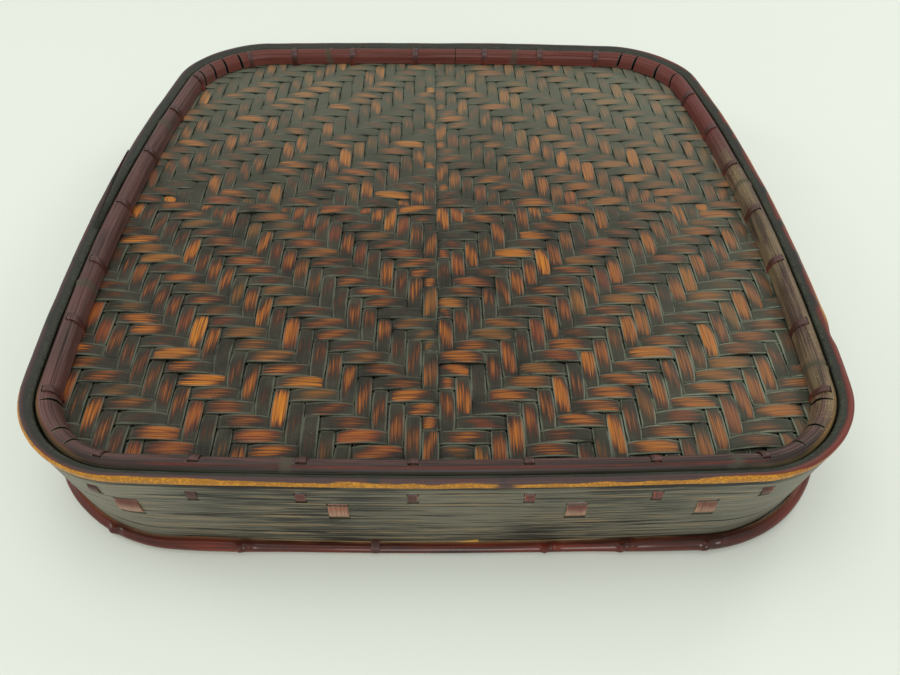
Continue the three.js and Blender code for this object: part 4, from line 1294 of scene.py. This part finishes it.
def weave_ribbons(numbers, runs_back):
    """All ribbons of one direction with the given numbers, in one bmesh."""
    whole = bmesh.new()
    layers = [whole.verts.layers.float.new(name) for name in WEAVE_ATTRIBUTES]
    uv_layer = whole.loops.layers.uv.new("strip")
    own_pitch, crossing_pitch = (COLUMN_PITCH, ROW_PITCH) if runs_back else (ROW_PITCH, COLUMN_PITCH)
    for number in numbers:
        middle = fanned((number + 0.5) * own_pitch, FAN_MIDDLE)
        low, high = half_length(middle, 0 if runs_back else 1)
        pitch = fanned(crossing_pitch, middle)
        first_cell = math.floor(low / pitch)
        cells = range(first_cell, math.ceil(high / pitch))
        on_top = [not row_on_top(number, cell) if runs_back else row_on_top(cell, number) for cell in cells]
        before = len(whole.verts)
        steps = int((high - low) / pitch * CELL_STEPS)
        made = bmesh.ops.create_grid(whole, x_segments=steps, y_segments=ACROSS_STEPS, size=0.5)
        whole.verts.index_update()
        verts = made["verts"]
        grid = np.array([vert.co for vert in verts])
        along = low + (grid[:, 0] + 0.5) * (high - low)
        across = grid[:, 1] * 2
        ends_of_floats = float_ends(on_top, first_cell, pitch)
        rise, share, float_number, floating = ribbon_profile(ends_of_floats, along, pitch)
        floats = float_number.max() + 1
        sway = weave_random.normal(0, SWAY_SPREAD, floats)[float_number]
        lift = weave_random.normal(0, LIFT_SPREAD, floats)[float_number]
        hue = (weave_random.uniform(0, 1, floats) * 0.7 + weave_random.uniform(0, 1) * 0.3)[float_number]
        width = own_pitch * STRIP_SHARE * (1 + weave_random.normal(0, WIDTH_SPREAD))
        belly = 1 - BELLY * np.abs(share) ** 5
        sideways = across * width / 2 * belly + sway * (1 - share**2)
        rise = rise - SECTION_CROWN * across**2 - EDGE_DROP * across**6 + lift * (1 - share**2)
        own = fanned((number + 0.5) * own_pitch, along) + sideways * fanned(1, along)
        grid_x, grid_y = (own, along) if runs_back else (along, own)
        slant = np.sign(grid_x * grid_y)
        strip_wear = weave_random.normal(0, STRIP_WEAR_SPREAD)
        off, wear = worn_spots(share, across, float_number, floating, slant, strip_wear)
        x = WEAVE_CENTRE[0] + grid_x * math.cos(WEAVE_TURN) - grid_y * math.sin(WEAVE_TURN)
        y = WEAVE_CENTRE[1] + grid_x * math.sin(WEAVE_TURN) + grid_y * math.cos(WEAVE_TURN)
        z = mat_surface(x, y) - CROSSING_RISE - FLOAT_CROWN - CROWN_SPARE + rise
        values = np.stack([off, wear, share, across, hue], axis=-1)
        for vert, place, row in zip(verts, np.stack([x, y, z], axis=-1) * MM, values):
            vert.co = place
            for layer, value in zip(layers, row):
                vert[layer] = value
            for loop in vert.link_loops:
                i = vert.index - before
                loop[uv_layer].uv = (along[i] * MM, (sideways[i] + number * MAP_STEP) * MM)
    bmesh.ops.recalc_face_normals(whole, faces=whole.faces)
    if whole.faces[0].normal.z < 0:
        bmesh.ops.reverse_faces(whole, faces=whole.faces)
    bmesh.ops.solidify(whole, geom=whole.faces, thickness=STRIP_THICKNESS * MM)
    smooth_with_creases(whole, 50)
    return whole


# %% [markdown]
# ### The worn lacquer of the weave
# The strips were smoked and stained almost black. Years of rubbing wore the stain off where the strips
# stand highest, and left orange bamboo that ends in fine streaks. Each fibre is worn over its own length,
# so noise that is stretched along the fibres sets how far from the float's middle the wear reaches. A
# colour ramp turns the depth of wear into charcoal, brown, red-brown and orange. Dust settled where the
# strips dive under others.

# %% Finish of the weave
WEAR_COLOURS = [(0.0, "2c1c12"), (0.3, "532e19"), (0.6, "834a1e"), (0.85, "a76019"), (1.0, "c2781f")]
WEAVE_CHARCOAL = "1e1c15"
WEAVE_GREY = "403d31"
KHAKI_WEAR = "6e5029"
RUSTY_WEAR = "743620"
# Grey of the dust on the weave, also used for its painted sheen.
DUST_AND_SHEEN_GREY = "7d8370"


def weave_finish():
    finish = Finish("worn woven strips")
    off, wear, share, across, hue = [finish.attribute(name) for name in WEAVE_ATTRIBUTES]
    across = size(across)
    vector, x, y, _ = finish.places()
    fibres = finish.streaks(45, 3000, 2)
    streaks = finish.streaks(40, 1100, 2)
    clouds = finish.noise(vector, scale=70, detail=3)
    grit = finish.noise(vector, scale=1500, detail=2)
    charcoal = step(fibres * 0.5 + clouds * 0.7 + grit * 0.3, 0.5, 1.0)
    colour = mix(charcoal, WEAVE_CHARCOAL, WEAVE_GREY)
    right = step(x, -0.02, 0.17)
    reach = wear * 1.05 + right * 0.16 + (streaks - 0.5) * 1.6 + (fibres - 0.5) * 1.1
    rub = reach - off**1.5 * 0.95 - across**5 * 0.6
    worn = step(rub, -0.2, 0.3) * step(wear + right * 0.06, 0.02, 0.1)
    deepest = 0.33 + wear * 0.58 - right * 0.08
    depth = step(rub, -0.1, 0.8) * deepest + (fibres - 0.5) * 0.9 + (streaks - 0.5) * 0.4
    rubbed = ramp(depth, WEAR_COLOURS)
    lines = finish.streaks(22, 1500, 3)
    rubbed = mix(step(lines, 0.5, 0.4) * 0.6, rubbed, WEAR_COLOURS[0][1])
    rubbed = mix(step(hue, 0.6, 0.95) * 0.5, rubbed, KHAKI_WEAR)
    rubbed = mix(step(hue, 0.35, 0.05) * 0.5, rubbed, RUSTY_WEAR)
    colour = mix(worn, colour, rubbed)
    edge = step(across + (clouds - 0.5) * 0.4, 0.7, 0.98)
    dive = step(size(share), 0.84, 1.0) * 0.6
    front_right = step(x - y, 0.1, 0.3)
    place_share = 0.4 + right * 0.2 + front_right * 0.4 + step(y, 0.0, 0.17) * 0.2
    dust = largest(edge, dive) * step(clouds + grit * 0.5, 0.42, 0.8) * place_share
    # Painted sheen: a pale grey film, growing towards the back and a little towards the right, stands for the
    # room's light glancing off the strips.
    painted_sheen = step(y, -0.06, 0.19) * 0.38 + step(x, 0.03, 0.17) * 0.14
    specks = step(grit, 0.7, 0.76) * 0.5
    # One grey covers the real dust at strip edges and dives, the painted sheen and the fine specks.
    dusty = largest(largest(dust, painted_sheen), specks)
    colour = mix(dusty, colour, DUST_AND_SHEEN_GREY)
    roughness = 0.6 - worn * 0.14 + dusty * 0.3 + (fibres - 0.5) * 0.2
    relief = finish.bump(fibres * 0.5 + lines * 0.6 - across**4 * 2.2, 0.00025, 0.7)
    return finish.set(Base_Color=colour, Roughness=roughness, Normal=relief, Specular_IOR_Level=0.22)


# %% The woven base
weave_material = weave_finish()
WEAVE_PARTS = {
    "woven_base_columns_left": (range(-24, 0), True),
    "woven_base_columns_right": (range(0, 25), True),
    "woven_base_rows_front": (range(-23, 0), False),
    "woven_base_rows_back": (range(0, 23), False),
}
for name, (numbers, runs_back) in WEAVE_PARTS.items():
    finish_mesh(name, weave_ribbons(numbers, runs_back), weave_material, ["woven_base"])
